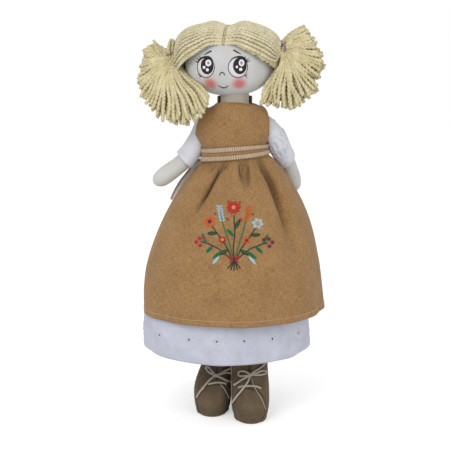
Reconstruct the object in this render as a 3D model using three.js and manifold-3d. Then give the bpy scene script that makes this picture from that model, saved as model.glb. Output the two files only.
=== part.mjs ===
// A soft cloth doll, about 40 cm tall, that stands on the flat soles of laced felt boots.
// It wears a white underdress and a linen pinafore with a gathered skirt, and has yarn hair in two bunches.
// Millimetres, +Z up. The doll faces -Y, and its own left side is +X.
import * as THREE from 'three';
import { mergeVertices } from 'three/addons/utils/BufferGeometryUtils.js';
import Module from 'manifold-3d';

const wasm = await Module();
wasm.setup();

// Room and drawing steps shared by the whole doll
const gap = 0.3; // room left between two sewn or seated pieces
const overrun = 40; // how far a cutting solid runs past what it cuts
const smoothing = 0.1; // how far a cut surface may be redrawn with fewer facets
const weld = 0.001; // corners closer than this are one
const probe = 0.01; // step for finding which way a surface faces
const columns = 22; // facets round the body, the head and the dress

// Stuffed body
const shoulderHeight = 322;
const hipHeight = 205;
const seatLift = 3; // the body ends this far above the hip joints
const chestWidth = 68;
const chestDepth = 43;
const bodySquareness = 2.4; // 2 is an oval, more is boxier
const neckWidth = 28.8;
const neckLength = 15.5;
const neckShift = 1; // the neck stands a little to the doll's left

// Stick that stiffens the neck
const stickDiameter = 7;
const stickInTorso = 32;
const stickInHead = 22;

// Head
const headWidth = 89;
const headDepth = 70;
const headDrop = 30.5; // widest level to chin
const headRise = 38.5; // widest level to crown
const headShift = -4.3;
const headTurn = 11; // degrees that the face is turned to the doll's right
const headSection = 2.1;
const chinSquareness = 2.15;
const crownSquareness = 2.4;
const neckInHead = 6;

// Yarn hair
const hairPuff = 8; // how far each side's soft dome rises
const hairFlat = 1.7; // yarn thickness at the parting
const hairlineTop = 19.5; // above the widest level of the head
const hairlineDrop = 21.5;
const hairlineBack = 2;
const napeDrop = 16;
const partingWidth = 2.4;
const seamThickness = 1;
const tieStandOff = 4.5; // ties stand this far out from the side of the hair
const tieForward = 6;
const tieRises = { left: 17, right: 10 };
const gatherDiameter = 12.4;
const tieWidth = 1.8;
const bunchReach = 62;
const bunchFans = { left: [52, -113], right: [86, -129] }; // degrees from level, outward, top and bottom
const bunchThickness = 26;
const bunchLeans = { left: 9, right: 29 }; // degrees forward as it hangs

// Arms
const armDiameter = 17.2;
const handDiameter = 22.4;
const armLength = 78;
const shoulderSpread = 54;
const shoulderShift = -1;
const shoulderDrop = 16;
const armRaises = { left: 50, right: 45 }; // degrees that each arm can be raised

// Underdress
const cottonThickness = 1;
const sleeveShares = { left: 0.62, right: 0.57 };
const sleeveRoom = 0.7;
const cuffFlare = 0.5;
const petticoatHem = 69;
const petticoatWidth = 174;
const petticoatDepth = 122;
const petticoatShift = -6.8;
const petticoatDip = 3;

// Pinafore
const linenThickness = 1.4;
const waistHeight = 266;
const waistTilt = 5.5; // degrees that the waist rides up on the doll's left
const bandHeight = 12;
const bandThickness = 1.2;
const tapeHeight = 4.4;
const tapeThickness = 0.9;
const skirtHem = 109;
const skirtWidth = 190;
const skirtDepth = 140;
const skirtShift = 0.6;
const skirtSway = 1.2;
const skirtDip = 1;
const neckRoom = 1.6;
const collarRise = 6; // the back collar stands higher than the front
const armholeHeight = 31;
const armholeDepth = 25;
const armholeInset = 11;

// Bow at the back of the waist
const ribbonWidth = 8;
const ribbonThickness = 1;
const bowLoopLength = 26;
const bowKnotWidth = 9;
const bowTailLength = 70;

// Legs and boots
const legDiameter = 27;
const ankleDiameter = 21;
const hipSpacing = 32;
const footSpacing = 40.5;
const footShift = -2.6;
const stride = 19.5; // the left foot stands this far ahead of the right
const footBack = 1.8; // both ankles' middle, behind the hips
const soleThickness = 2.6;
const soleWelt = 0.6;
const bootLength = 63;
const bootWidth = 39;
const bootHeight = 76;
const bootSquareness = 2.3;
const feltThickness = 2;
const feltStep = 0.8; // the quarters stand proud of the toe piece
const toeSeam = 23; // toe piece ends this far ahead of the ankle
const slitWidth = 4;
const slitLow = 41;
const tongueThickness = 1.4;
const tongueWidth = 15;
const tongueHeight = 66;
const laceDiameter = 1.8;

// Worked out from the sizes above
const degrees = THREE.MathUtils.degToRad;
const neckTop = shoulderHeight + neckLength;
const headHeight = neckTop - neckInHead + headDrop;
const linenInside = 2 * gap + cottonThickness + gap;
const linenOutside = linenInside + linenThickness;
const tiltSlope = Math.tan(degrees(waistTilt));

// Solids from geometry, and geometry from solids
const at = (x, y, z) => new THREE.Vector3(x, y, z);

function solid(geometry) {
  const bare = geometry.index ? geometry.toNonIndexed() : geometry;
  const plain = new THREE.BufferGeometry().setAttribute('position', bare.getAttribute('position'));
  const merged = mergeVertices(plain, weld);
  const mesh = { numProp: 3, vertProperties: new Float32Array(merged.attributes.position.array) };
  const made = new wasm.Manifold(new wasm.Mesh({ ...mesh, triVerts: new Uint32Array(merged.index.array) }));
  if (made.volume() > 0) return made;
  const turned = new Uint32Array(merged.index.array).reverse();
  return new wasm.Manifold(new wasm.Mesh({ ...mesh, triVerts: turned }));
}

function geometryOf(made) {
  const mesh = made.simplify(smoothing).getMesh();
  const geometry = new THREE.BufferGeometry();
  geometry.setAttribute('position', new THREE.BufferAttribute(new Float32Array(mesh.vertProperties), 3));
  geometry.setIndex(new THREE.BufferAttribute(new Uint32Array(mesh.triVerts), 1));
  geometry.computeVertexNormals();
  return geometry;
}

const join = (...solids) => solids.reduce((all, one) => all.add(one));
const cut = (from, ...tools) => tools.reduce((left, tool) => left.subtract(tool), from);
const largest = (made) => made.decompose().sort((a, b) => b.volume() - a.volume())[0];

function box(low, high) {
  const size = high.clone().sub(low);
  const middle = high.clone().add(low).multiplyScalar(0.5);
  return solid(new THREE.BoxGeometry(size.x, size.y, size.z).translate(middle.x, middle.y, middle.z));
}

function ball(radius, centre, across = 16, rows = 10) {
  return solid(new THREE.SphereGeometry(radius, across, rows).translate(centre.x, centre.y, centre.z));
}

function upright(radius, low, high, sides = 24) {
  const length = high.z - low.z;
  const geometry = new THREE.CylinderGeometry(radius, radius, length, sides).rotateX(Math.PI / 2);
  return solid(geometry.translate(low.x, low.y, low.z + length / 2));
}

// Quads between rings of points, each ring closed on itself
function skin(rings) {
  const points = [];
  rings.slice(1).forEach((upper, i) => {
    const lower = rings[i];
    lower.forEach((a, j) => {
      const k = (j + 1) % lower.length;
      points.push(a, lower[k], upper[k], a, upper[k], upper[j]);
    });
  });
  return points;
}

function fan(ring) {
  const middle = ring.reduce((sum, p) => sum.add(p), at(0, 0, 0)).divideScalar(ring.length);
  return ring.flatMap((p, j) => [middle, p, ring[(j + 1) % ring.length]]);
}

const flipped = (points) => [...points].reverse();
const fromPoints = (points) => solid(new THREE.BufferGeometry().setFromPoints(points));

// A solid through closed rings, capped at both ends
function loft(rings) {
  return fromPoints([...skin(rings), ...flipped(fan(rings[0])), ...fan(rings.at(-1))]);
}

// A sheet of some thickness between outer and inner rings, joined round both rims
function wall(outer, inner) {
  return fromPoints(skin([...outer, ...[...inner].reverse(), outer[0]]));
}

// A smooth curve through a table whose rows start with a position
function smooth(table, column, position) {
  const last = table.length - 1;
  const slope = (k) => {
    const before = table[Math.max(0, k - 1)];
    const after = table[Math.min(last, k + 1)];
    return (after[column] - before[column]) / (after[0] - before[0]);
  };
  const found = table.findLastIndex((row) => row[0] <= position);
  const i = Math.min(last - 1, Math.max(0, found));
  const span = table[i + 1][0] - table[i][0];
  const t = THREE.MathUtils.clamp((position - table[i][0]) / span, 0, 1);
  const blend = t * t * (3 - 2 * t);
  const bulge = t * (1 - t) * span;
  return (1 - blend) * table[i][column] + blend * table[i + 1][column]
    + bulge * ((1 - t) * slope(i) - t * slope(i + 1));
}

// Cosine or sine of a turn round an oval that is squarer than an ellipse
const bend = (value, squareness) => Math.sign(value) * Math.abs(value) ** (2 / squareness);
const across = (turn, squareness) => bend(Math.cos(degrees(turn)), squareness);
const along = (turn, squareness) => bend(Math.sin(degrees(turn)), squareness);

// A surface is a function of a turn (0 is the doll's left, -90 its front) and a rising level.
// This is the point that stands a given distance off it, square to it.
function lifted(surface, turn, level, out) {
  const here = surface(turn, level);
  const round = surface(turn + probe, level).sub(here);
  const down = surface(turn, level - probe).sub(here);
  return here.addScaledVector(down.cross(round).normalize(), out);
}

function ring(surface, level, out, count = columns) {
  return Array.from({ length: count }, (_, j) => {
    const turn = (j / count) * 360;
    return lifted(surface, turn, level, typeof out === 'function' ? out(turn, level) : out);
  });
}

const rings = (surface, levels, out, count) => levels.map((level) => ring(surface, level, out, count));

function shell(surface, levels, outer, inner, count) {
  return wall(rings(surface, levels, outer, count), rings(surface, levels, inner, count));
}

function levelsBetween(low, high, steps) {
  return Array.from({ length: steps + 1 }, (_, i) => THREE.MathUtils.lerp(low, high, i / steps));
}

// A stuffed limb along a curve, rounded off at its far end
function limb(points, radiusAt, steps = 11, sides = 14) {
  const curve = new THREE.CatmullRomCurve3(points);
  return loft(Array.from({ length: steps + 1 }, (_, i) => {
    const share = Math.sin((Math.PI / 2) * (i / steps));
    const centre = curve.getPointAt(share);
    const direction = curve.getTangentAt(share);
    const side = new THREE.Vector3().crossVectors(at(0, 1, 0), direction).normalize();
    const front = new THREE.Vector3().crossVectors(direction, side);
    return Array.from({ length: sides }, (_, j) => {
      const angle = (j / sides) * 2 * Math.PI;
      return centre.clone()
        .addScaledVector(side, radiusAt(share) * Math.cos(angle))
        .addScaledVector(front, radiusAt(share) * Math.sin(angle));
    });
  }));
}

// A round cord along a smooth curve
function cord(points, radius, steps, sides = 5) {
  const corners = Array.from({ length: sides }, (_, j) => {
    const angle = (j / sides) * 2 * Math.PI;
    return new THREE.Vector2(radius * Math.cos(angle), radius * Math.sin(angle));
  });
  const path = new THREE.CatmullRomCurve3(points);
  const section = new THREE.Shape(corners);
  return solid(new THREE.ExtrudeGeometry(section, { extrudePath: path, steps, bevelEnabled: false }));
}

// A flat ribbon along a curve, its width square to the curve and to the way it faces
function ribbon(points, facing, steps) {
  const curve = new THREE.CatmullRomCurve3(points);
  return loft(Array.from({ length: steps + 1 }, (_, i) => {
    const centre = curve.getPointAt(i / steps);
    const edge = new THREE.Vector3().crossVectors(facing, curve.getTangentAt(i / steps)).normalize();
    const corner = (wide, deep) => centre.clone()
      .addScaledVector(edge, (wide * ribbonWidth) / 2)
      .addScaledVector(facing, (deep * ribbonThickness) / 2);
    return [corner(1, -1), corner(1, 1), corner(-1, 1), corner(-1, -1)];
  }));
}

const doll = new THREE.Group();
doll.name = 'cloth_doll';

const cloth = (color) => new THREE.MeshStandardMaterial({ color, roughness: 0.9, metalness: 0 });
const finishes = {
  skin: cloth(0xd8d6cf),
  hair: cloth(0xd9c88c),
  linen: cloth(0xa47c4c),
  cotton: cloth(0xe4e5f0),
  tape: cloth(0xcbb394),
  felt: cloth(0x5f5242),
  lace: cloth(0x9a8e80),
  elastic: cloth(0x8f7a74),
  wood: cloth(0xc9a878),
};

function add(name, made, finish) {
  const mesh = new THREE.Mesh(geometryOf(made), finishes[finish]);
  mesh.name = name;
  doll.add(mesh);
}

// Body: rows of height as a share of hip to shoulder, then width and depth shares of the chest, then
// a sideways share of the chest's width
const bodyShares = [
  [0.02, 0.9, 0.94, 0],
  [0.1, 0.96, 1, 0.01],
  [0.25, 0.94, 1.02, 0.03],
  [0.42, 0.86, 0.94, 0.045],
  [0.52, 0.85, 0.92, 0.04],
  [0.64, 0.93, 0.97, 0.01],
  [0.77, 1, 1, -0.015],
  [0.86, 0.985, 0.94, -0.015],
  [0.92, 0.91, 0.85, -0.005],
  [0.965, 0.79, 0.77, 0.005],
  [1, 0.52, 0.71, 0.015],
];
const torsoHeight = shoulderHeight - hipHeight;

function body(turn, z) {
  const share = (z - hipHeight) / torsoHeight;
  const size = (column) => smooth(bodyShares, column, share);
  return at(
    chestWidth * (size(3) + (size(1) / 2) * across(turn, bodySquareness)),
    (chestDepth / 2) * size(2) * along(turn, bodySquareness),
    z,
  );
}

// The same surface with its levels sloping like the waist, for the clothes
const sloped = (z) => tiltSlope * Math.exp(-(((z - waistHeight) / (2.2 * bandHeight)) ** 2));
function clothesBody(turn, z) {
  return body(turn, z + body(turn, z).x * sloped(z));
}

const bodyLevels = [
  ...levelsBetween(hipHeight + seatLift, waistHeight, 3),
  ...levelsBetween(waistHeight, hipHeight + 0.9 * torsoHeight, 3).slice(1),
  ...levelsBetween(hipHeight + 0.9 * torsoHeight, shoulderHeight, 4).slice(1),
];
const neckRadius = neckWidth / 2;
const shoulder = (side) => at(
  shoulderShift + (side * shoulderSpread) / 2,
  0,
  shoulderHeight - shoulderDrop,
);
const hipPoint = (side) => at((side * hipSpacing) / 2, 0, hipHeight);
const armRadius = armDiameter / 2;
const legRadius = legDiameter / 2;
const neckPoint = (z) => at(neckShift, 0, z);
const stickRadius = stickDiameter / 2;
const stickLow = neckPoint(neckTop - stickInTorso);
const stickHigh = neckPoint(neckTop + stickInHead);
const stickBore = upright(
  stickRadius + gap,
  neckPoint(stickLow.z - gap),
  neckPoint(stickHigh.z + gap),
  12,
);
const neck = upright(neckRadius, neckPoint(shoulderHeight - neckLength), neckPoint(neckTop), columns);
const torsoForm = join(loft(rings(body, bodyLevels, 0)), neck);
const sockets = [-1, 1].flatMap((side) => [
  ball(armRadius + gap, shoulder(side)),
  ball(legRadius + gap, hipPoint(side)),
]);
add('torso', largest(cut(torsoForm, stickBore, ...sockets)), 'skin');
add('neck_stick', upright(stickRadius, stickLow, stickHigh, 12), 'wood');

// Bodices of the underdress and the pinafore: walls that follow the chest up to the neck
function armhole(side, room) {
  const reach = chestWidth;
  const hole = new THREE.CylinderGeometry(1, 1, reach, 16).rotateZ(Math.PI / 2)
    .scale(1, armholeDepth / 2 + room, armholeHeight / 2 + room);
  const start = chestWidth / 2 - armholeInset - room;
  return solid(hole.translate(shoulderShift + side * (start + reach / 2), 0, shoulder(side).z));
}

const seam = waistHeight + bandHeight / 2;
const bodiceLevels = [
  ...levelsBetween(seam + gap / 2, hipHeight + 0.9 * torsoHeight, 3),
  ...levelsBetween(hipHeight + 0.9 * torsoHeight, shoulderHeight, 4).slice(1),
];

function bodice(inside, thickness, room) {
  const walls = shell(clothesBody, bodiceLevels, inside + thickness, inside);
  const neckline = upright(
    neckRadius + neckRoom,
    neckPoint(shoulderHeight - neckLength),
    neckPoint(neckTop),
    columns,
  );
  return largest(cut(walls, neckline, armhole(-1, room), armhole(1, room)));
}

add('underdress_bodice', bodice(2 * gap, cottonThickness, 0), 'cotton');

const collarShape = shell(
  (turn, z) => at(
    neckShift + (neckRadius + neckRoom) * Math.cos(degrees(turn)),
    (neckRadius + neckRoom) * Math.sin(degrees(turn)),
    z,
  ),
  [shoulderHeight, shoulderHeight + linenOutside + collarRise],
  linenThickness,
  0,
);
const collarFront = box(
  at(-overrun, -overrun, shoulderHeight - overrun),
  at(overrun, -gap, neckTop + overrun),
);
const underLinen = loft(rings(clothesBody, bodiceLevels, linenInside));
const collar = cut(collarShape, collarFront, underLinen, armhole(-1, gap), armhole(1, gap));
add('pinafore_bodice', largest(join(bodice(linenInside, linenThickness, gap), collar)), 'linen');

// Waist: a linen band over the seam, with two woven tapes round it
const bandInside = linenOutside + 1.5 * gap;
const bandLevels = levelsBetween(waistHeight, waistHeight + bandHeight, 2);
const bandOutside = bandInside + bandThickness;
const waistLevels = levelsBetween(waistHeight - 3 * gap, waistHeight + bandHeight + 3 * gap, 2);
add('waistband', shell(clothesBody, bandLevels, bandOutside, bandInside), 'linen');
function tape(low) {
  const levels = levelsBetween(low, low + tapeHeight, 1);
  return shell(clothesBody, levels, bandOutside + gap + tapeThickness, bandOutside + gap);
}
add('upper_waist_tape', tape(waistHeight + bandHeight - tapeHeight), 'tape');
add('lower_waist_tape', tape(waistHeight), 'tape');

// Skirts: flaring fast below the waist, with the main folds pressed in.
// Each fold has degrees from the front at its top and its bottom, then its half-width in degrees,
// its depth as a share of the skirt's width, and the shares of the way down where it starts and ends.
const foldShares = [
  [-9, -34, 8, 0.03, 0.02, 0.5],
  [12, 13, 5, 0.016, 0.01, 0.2],
  [41, 50, 8, 0.03, 0.01, 0.72],
  [-78, -82, 9, 0.018, 0.02, 0.7],
  [80, 82, 9, 0.02, 0.02, 0.7],
  [112, 114, 9, 0.02, 0.02, 0.7],
  [146, 147, 9, 0.02, 0.02, 0.7],
  [180, 180, 9, 0.02, 0.02, 0.7],
  [-146, -147, 9, 0.02, 0.02, 0.7],
  [-112, -114, 9, 0.02, 0.02, 0.7],
];

function foldDepth(turn, down) {
  return foldShares.reduce((sum, [top, bottom, spread, depth, first, last]) => {
    const share = THREE.MathUtils.clamp((down - first) / (last - first), 0, 1);
    const middle = THREE.MathUtils.lerp(top, bottom, share) - 90;
    const off = THREE.MathUtils.euclideanModulo(turn - middle + 180, 360) - 180;
    const strength = Math.sin(Math.PI * share ** 0.6);
    return sum + depth * skirtWidth * strength * Math.exp(-((off / spread) ** 2));
  }, 0);
}

// A skirt's level is a height: its hem hangs level, and above the waist it runs straight up under the band.
function skirtSurface(size) {
  return (turn, z) => {
    const edge = waistHeight - gap;
    const top = lifted(clothesBody, turn, Math.max(z, edge), size.inside);
    if (z >= edge) return top;
    const down = Math.min(1, (edge - z) / (edge - size.hem));
    const flare = 1 - (1 - down ** 0.85) ** 2;
    const sideways = Math.cos(degrees(turn));
    const forward = Math.sin(degrees(turn));
    const pressed = size.foldShare * foldDepth(turn, down);
    const sway = size.sway * (Math.sin(Math.PI * Math.min(1, 2 * down))
      - 1.4 * Math.sin(Math.PI * Math.max(0, 2 * down - 1)));
    const dip = size.dip * down ** 3 * Math.max(0, -forward) ** 2;
    return at(
      THREE.MathUtils.lerp(top.x, size.shift + (size.width / 2) * sideways, flare) + sway - pressed * sideways,
      THREE.MathUtils.lerp(top.y, (size.depth / 2) * forward, flare) - pressed * forward,
      z + (top.z - edge) * (1 - down) - dip,
    );
  };
}

function skirt(size, thickness, steps, count) {
  const levels = [
    ...levelsBetween(0, 1, steps).map((share) => THREE.MathUtils.lerp(size.hem, waistHeight - gap, share ** 0.8)),
    seam - gap / 2,
  ];
  return shell(skirtSurface(size), levels, 0, -thickness, count);
}

const skirtColumns = 46;
const linenSkirt = {
  hem: skirtHem,
  dip: skirtDip,
  width: skirtWidth,
  depth: skirtDepth,
  shift: skirtShift,
  sway: skirtSway,
  inside: linenOutside,
  foldShare: 1,
};
add('pinafore_skirt', skirt(linenSkirt, linenThickness, 7, skirtColumns), 'linen');
const petticoat = {
  hem: petticoatHem,
  dip: petticoatDip,
  width: petticoatWidth,
  depth: petticoatDepth,
  shift: petticoatShift,
  sway: skirtSway,
  inside: 2 * gap + cottonThickness,
  foldShare: 0.6,
};
add('underdress_skirt', skirt(petticoat, cottonThickness, 5, skirtColumns), 'cotton');

// Bow at the back of the waist: a knot, two loops and two tails, one of them swept round to the doll's right
const back = clothesBody(90, seam).y + bandOutside + gap + tapeThickness + gap;
const knot = at(neckShift, back + bowKnotWidth / 2, seam);
const fromKnot = (x, y, z) => at(knot.x + x, knot.y + y, knot.z + z);
const halfKnot = bowKnotWidth / 2;
const knotForm = solid(new THREE.SphereGeometry(1, 10, 6)
  .scale(halfKnot * 0.9, halfKnot, halfKnot * 0.9).translate(knot.x, knot.y, knot.z));
const backward = at(0, 1, 0);
const loops = [-1, 1].map((side) => {
  const reach = side * bowLoopLength;
  const outline = [
    fromKnot(0, -halfKnot * 0.5, 0),
    fromKnot(reach * 0.5, -halfKnot * 0.6, halfKnot * 0.2),
    fromKnot(reach * 0.95, -halfKnot * 0.5, -halfKnot * 0.2),
    fromKnot(reach, halfKnot * 0.1, -halfKnot * 0.5),
    fromKnot(reach * 0.9, halfKnot * 0.7, -halfKnot * 0.4),
    fromKnot(reach * 0.45, halfKnot * 0.9, 0),
    fromKnot(0, halfKnot * 0.3, 0),
  ];
  return ribbon(outline, at(0, 0, 1), 8);
});
function skirtBack(turn, share, out) {
  return lifted(skirtSurface(linenSkirt), turn, seam - share * bowTailLength, out);
}
const hangingTail = ribbon([
  fromKnot(0, 0, 0),
  skirtBack(84, 0.25, 3 * ribbonThickness),
  skirtBack(80, 0.6, 2 * ribbonThickness),
  skirtBack(78, 1, 2 * ribbonThickness),
], backward, 6);
const sweptTail = ribbon([
  fromKnot(0, 0, 0),
  skirtBack(115, 0.12, 5 * ribbonThickness),
  skirtBack(143, 0.28, 10 * ribbonThickness),
  skirtBack(155, 0.5, 11 * ribbonThickness),
  skirtBack(160, 0.82, 9 * ribbonThickness),
], backward, 7);
const bowRoom = loft(rings(
  clothesBody,
  levelsBetween(waistHeight - bandHeight, waistHeight + 2 * bandHeight, 3),
  back - clothesBody(90, seam).y,
));
add('back_bow', largest(cut(join(knotForm, ...loops, hangingTail, sweptTail), bowRoom)), 'tape');

// Head, hair and bunches are made round the middle of the head, then turned and set on the neck
const onNeck = (made) => made.rotate([0, 0, -headTurn]).translate([headShift, 0, headHeight]);

function headSurface(turn, latitude) {
  const squareness = latitude > 0 ? crownSquareness : chinSquareness;
  const level = bend(Math.sin(degrees(latitude)), squareness);
  const spread = bend(Math.cos(degrees(latitude)), squareness);
  return at(
    (headWidth / 2) * spread * across(turn, headSection),
    (headDepth / 2) * spread * along(turn, headSection),
    level * (latitude > 0 ? headRise : headDrop),
  );
}

const latitudes = [-80, -66, -50, -34, -17, 0, 15, 30, 44, 58, 71, 83];
const headForm = (out) => loft(rings(headSurface, latitudes, out));
const neckSocket = upright(
  neckRadius + gap,
  neckPoint(headHeight - headDrop - neckInHead),
  neckPoint(neckTop + gap),
  columns,
);
add('head', cut(onNeck(headForm(0)), neckSocket, stickBore), 'skin');

// Each side of the hair rises in a soft dome between the parting and its tie
function hairDepth(turn, latitude) {
  const place = headSurface(turn, latitude);
  const aside = THREE.MathUtils.smoothstep(Math.abs(place.x) / (headWidth / 2), 0, 0.45);
  const high = THREE.MathUtils.smoothstep(place.z / headRise, 0.1, 0.75);
  return hairFlat + hairPuff * aside * (0.6 + 0.4 * high);
}

const halfHead = headWidth / 2;
const arch = Array.from({ length: 13 }, (_, i) => {
  const share = i / 6 - 1;
  const fall = hairlineDrop * Math.abs(share) ** 1.6;
  return new THREE.Vector2(share * halfHead, hairlineTop - fall);
});
const archLow = hairlineTop - hairlineDrop;
const faceOpening = solid(new THREE.ExtrudeGeometry(new THREE.Shape([
  new THREE.Vector2(-halfHead - overrun, -headDrop - overrun),
  new THREE.Vector2(-halfHead - overrun, archLow),
  ...arch,
  new THREE.Vector2(halfHead + overrun, archLow),
  new THREE.Vector2(halfHead + overrun, -headDrop - overrun),
]), { depth: headDepth, bevelEnabled: false }).rotateX(Math.PI / 2).translate(0, hairlineBack, 0));
const napeOpening = box(
  at(-halfHead - overrun, hairlineBack - gap, -headDrop - overrun),
  at(halfHead + overrun, headDepth, -napeDrop),
);
const hairRoom = [headForm(gap), faceOpening, napeOpening];
const halfParting = partingWidth / 2;
const slab = (low, high) => box(at(low, -headDepth, -headDrop - overrun), at(high, headDepth, headRise + overrun));
const hairForm = headForm(hairDepth);
const far = headWidth;
const seamCloth = cut(headForm(gap + seamThickness), ...hairRoom);
add('parting_seam', onNeck(largest(seamCloth.intersect(slab(-halfParting + gap, halfParting - gap)))), 'tape');

const sides = { left: 1, right: -1 };
const gatherRadius = gatherDiameter / 2;
const tieRadius = tieWidth / 2;

// A bunch's outline as rows of the share of the way round its fan, its reach and its thickness shares
const bunchShares = {
  left: [[0, 0.5, 0.6], [0.2, 0.56, 0.9], [0.38, 0.74, 1], [0.54, 0.82, 1], [0.62, 0.9, 1], [0.78, 0.96, 1],
    [0.92, 1, 0.9], [1, 0.86, 0.55]],
  right: [[0, 0.3, 0.5], [0.14, 0.36, 0.7], [0.23, 0.41, 0.8], [0.3, 0.39, 0.85], [0.42, 0.53, 1], [0.56, 0.72, 1],
    [0.66, 0.86, 1], [0.76, 1.01, 1], [0.86, 1.09, 0.9], [0.94, 1.11, 0.75], [1, 0.93, 0.5]],
};
const bunchSteps = [
  // share of the reach, share of the thickness
  [0.04, 0.3], [0.16, 0.45], [0.34, 0.86], [0.55, 1], [0.78, 0.88], [0.93, 0.52], [1, 0.2],
];

function bunchFan(side, name, centre) {
  const across = 11;
  const lean = Math.tan(degrees(bunchLeans[name]));
  const point = (share, [reachShare, thickShare], front) => {
    const table = bunchShares[name];
    const angle = degrees(THREE.MathUtils.lerp(...bunchFans[name], share));
    const reach = bunchReach * reachShare * smooth(table, 1, share);
    const edge = (1 - Math.abs(2 * share - 1) ** 3) ** 0.5;
    const thick = (bunchThickness / 2) * thickShare * smooth(table, 2, share) * (0.3 + 0.7 * edge);
    const drop = Math.max(0, -reach * Math.sin(angle));
    return at(
      centre.x + side * reach * Math.cos(angle),
      centre.y - lean * drop + (front ? -thick : thick),
      centre.z + reach * Math.sin(angle),
    );
  };
  const loops = bunchSteps.map((step) => [
    ...Array.from({ length: across + 1 }, (_, j) => point(j / across, step, true)),
    ...Array.from({ length: across + 1 }, (_, j) => point(1 - j / across, step, false)),
  ]);
  const strip = (loop) => Array.from({ length: across }, (_, j) => {
    const [a, b] = [loop[j], loop[j + 1]];
    const [c, d] = [loop[loop.length - 2 - j], loop[loop.length - 1 - j]];
    return [a, b, c, a, c, d];
  }).flat();
  return fromPoints([...skin(loops), ...flipped(strip(loops[0])), ...strip(loops.at(-1))]);
}

Object.entries(sides).forEach(([name, side]) => {
  const panel = cut(hairForm, ...hairRoom).intersect(
    side > 0 ? slab(halfParting, far) : slab(-far, -halfParting),
  );
  const level = tieRises[name];
  const sideOfHair = hairForm.intersect(slab(-far, far)).boundingBox();
  const centre = at(side * (sideOfHair.max[0] - hairPuff * 0.2 + tieStandOff), -tieForward, level);
  const gather = ball(gatherRadius, centre, 14, 10);
  const hollow = ball(gatherRadius + gap, centre, 14, 10);
  add(`${name}_hair_panel`, onNeck(largest(cut(panel, hollow))), 'hair');
  const ringOut = gatherRadius * 0.45;
  const ringRadius = Math.sqrt(gatherRadius ** 2 - ringOut ** 2) + tieRadius + gap;
  const tie = solid(new THREE.TorusGeometry(ringRadius, tieRadius, 6, 16).rotateY(Math.PI / 2)
    .translate(centre.x + side * ringOut, centre.y, centre.z));
  const tieRoom = solid(new THREE.TorusGeometry(ringRadius, tieRadius + gap, 6, 16).rotateY(Math.PI / 2)
    .translate(centre.x + side * ringOut, centre.y, centre.z));
  add(`${name}_hair_tie`, onNeck(tie), 'elastic');
  const fanShape = cut(bunchFan(side, name, centre), headForm(hairDepth).add(headForm(2 * gap)), tieRoom);
  const bunch = join(cut(gather, tieRoom), fanShape);
  add(`${name}_bunch`, onNeck(largest(bunch)), 'hair');
});

// Arms and sleeves. Rows follow each arm from the shoulder: outward, backward and downward shares of its length.
const armShares = {
  left: [[0, 0, 0], [0.19, 0.03, 0.16], [0.31, 0.09, 0.37], [0.41, 0.21, 0.57], [0.47, 0.38, 0.8], [0.49, 0.5, 0.96]],
  right: [[0, 0, 0], [0.12, 0, 0.21], [0.23, 0, 0.39], [0.36, 0, 0.55], [0.55, 0, 0.71], [0.7, 0, 0.85]],
};
const handShare = handDiameter / armDiameter;
const armRadiusShares = [
  [0, 1], [0.3, 0.98], [0.55, 1], [0.68, 1.06], [0.82, handShare], [0.93, handShare * 0.86], [0.98, handShare * 0.52],
  [1, handShare * 0.2],
];
const armPath = (name, side) => armShares[name].map(([out, back, down]) => shoulder(side).add(
  at(side * out * armLength, back * armLength, -down * armLength),
));
const armRoundness = (share) => armRadius * smooth(armRadiusShares, 1, share);

// Each arm and sleeve is cut back from where the body would be as the arm is raised.
const raiseSteps = 5;
function keptOut(out) {
  return loft(rings(clothesBody, bodyLevels, out));
}

Object.entries(sides).forEach(([name, side]) => {
  const path = armPath(name, side);
  const start = ball(armRadius, shoulder(side), 12, 8);
  const waistRoom = loft(rings(clothesBody, waistLevels, bandOutside + tapeThickness + 2.5 * gap));
  const clothesRoom = join(cut(keptOut(linenOutside + gap), armhole(side, -gap)), waistRoom);
  const torsoRoom = loft(rings(body, bodyLevels, 2 * gap));
  const { x, y, z } = shoulder(side);
  const raised = levelsBetween(0, armRaises[name], raiseSteps)
    .map((turn) => torsoRoom.translate(-x, -y, -z).rotate(0, side * turn, 0).translate(x, y, z));
  const limbShape = cut(limb(path, armRoundness), ...raised, clothesRoom);
  add(`${name}_arm`, largest(join(start, limbShape)), 'skin');
  const cuff = sleeveShares[name];
  const curve = new THREE.CatmullRomCurve3(path);
  const along = Array.from({ length: 10 }, (_, i) => curve.getPointAt((cuff * i) / 9));
  const sleeveRadius = (out) => (share) => armRadius * smooth(armRadiusShares, 1, share * cuff)
    + out + cuffFlare * THREE.MathUtils.smoothstep(share, 0.6, 1);
  const outer = limb(along, sleeveRadius(sleeveRoom + cottonThickness), 7, 13);
  const inner = limb([...along, along.at(-1).clone().add(curve.getTangentAt(cuff))], sleeveRadius(sleeveRoom), 7, 13);
  const sleeve = cut(outer, inner, ...raised, keptOut(2 * gap + cottonThickness + gap), clothesRoom);
  add(`${name}_sleeve`, largest(sleeve), 'cotton');
});

// Boots. Rows go up the boot: height, toe, heel and width shares of its height, length and width.
const bootShares = [
  [0.03, 0.71, 0.24, 0.93],
  [0.1, 0.74, 0.262, 0.975],
  [0.2, 0.74, 0.265, 1],
  [0.3, 0.69, 0.262, 1],
  [0.38, 0.6, 0.26, 1],
  [0.46, 0.48, 0.258, 0.99],
  [0.55, 0.37, 0.258, 0.97],
  [0.66, 0.3, 0.26, 0.95],
  [1, 0.265, 0.265, 0.92],
];

function bootSurface(turn, z) {
  const share = z / bootHeight;
  const toe = -bootLength * smooth(bootShares, 1, share);
  const heel = bootLength * smooth(bootShares, 2, share);
  const half = (bootWidth / 2) * smooth(bootShares, 3, share);
  return at(
    half * across(turn, bootSquareness),
    (heel + toe) / 2 + ((heel - toe) / 2) * along(turn, bootSquareness),
    z,
  );
}

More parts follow.
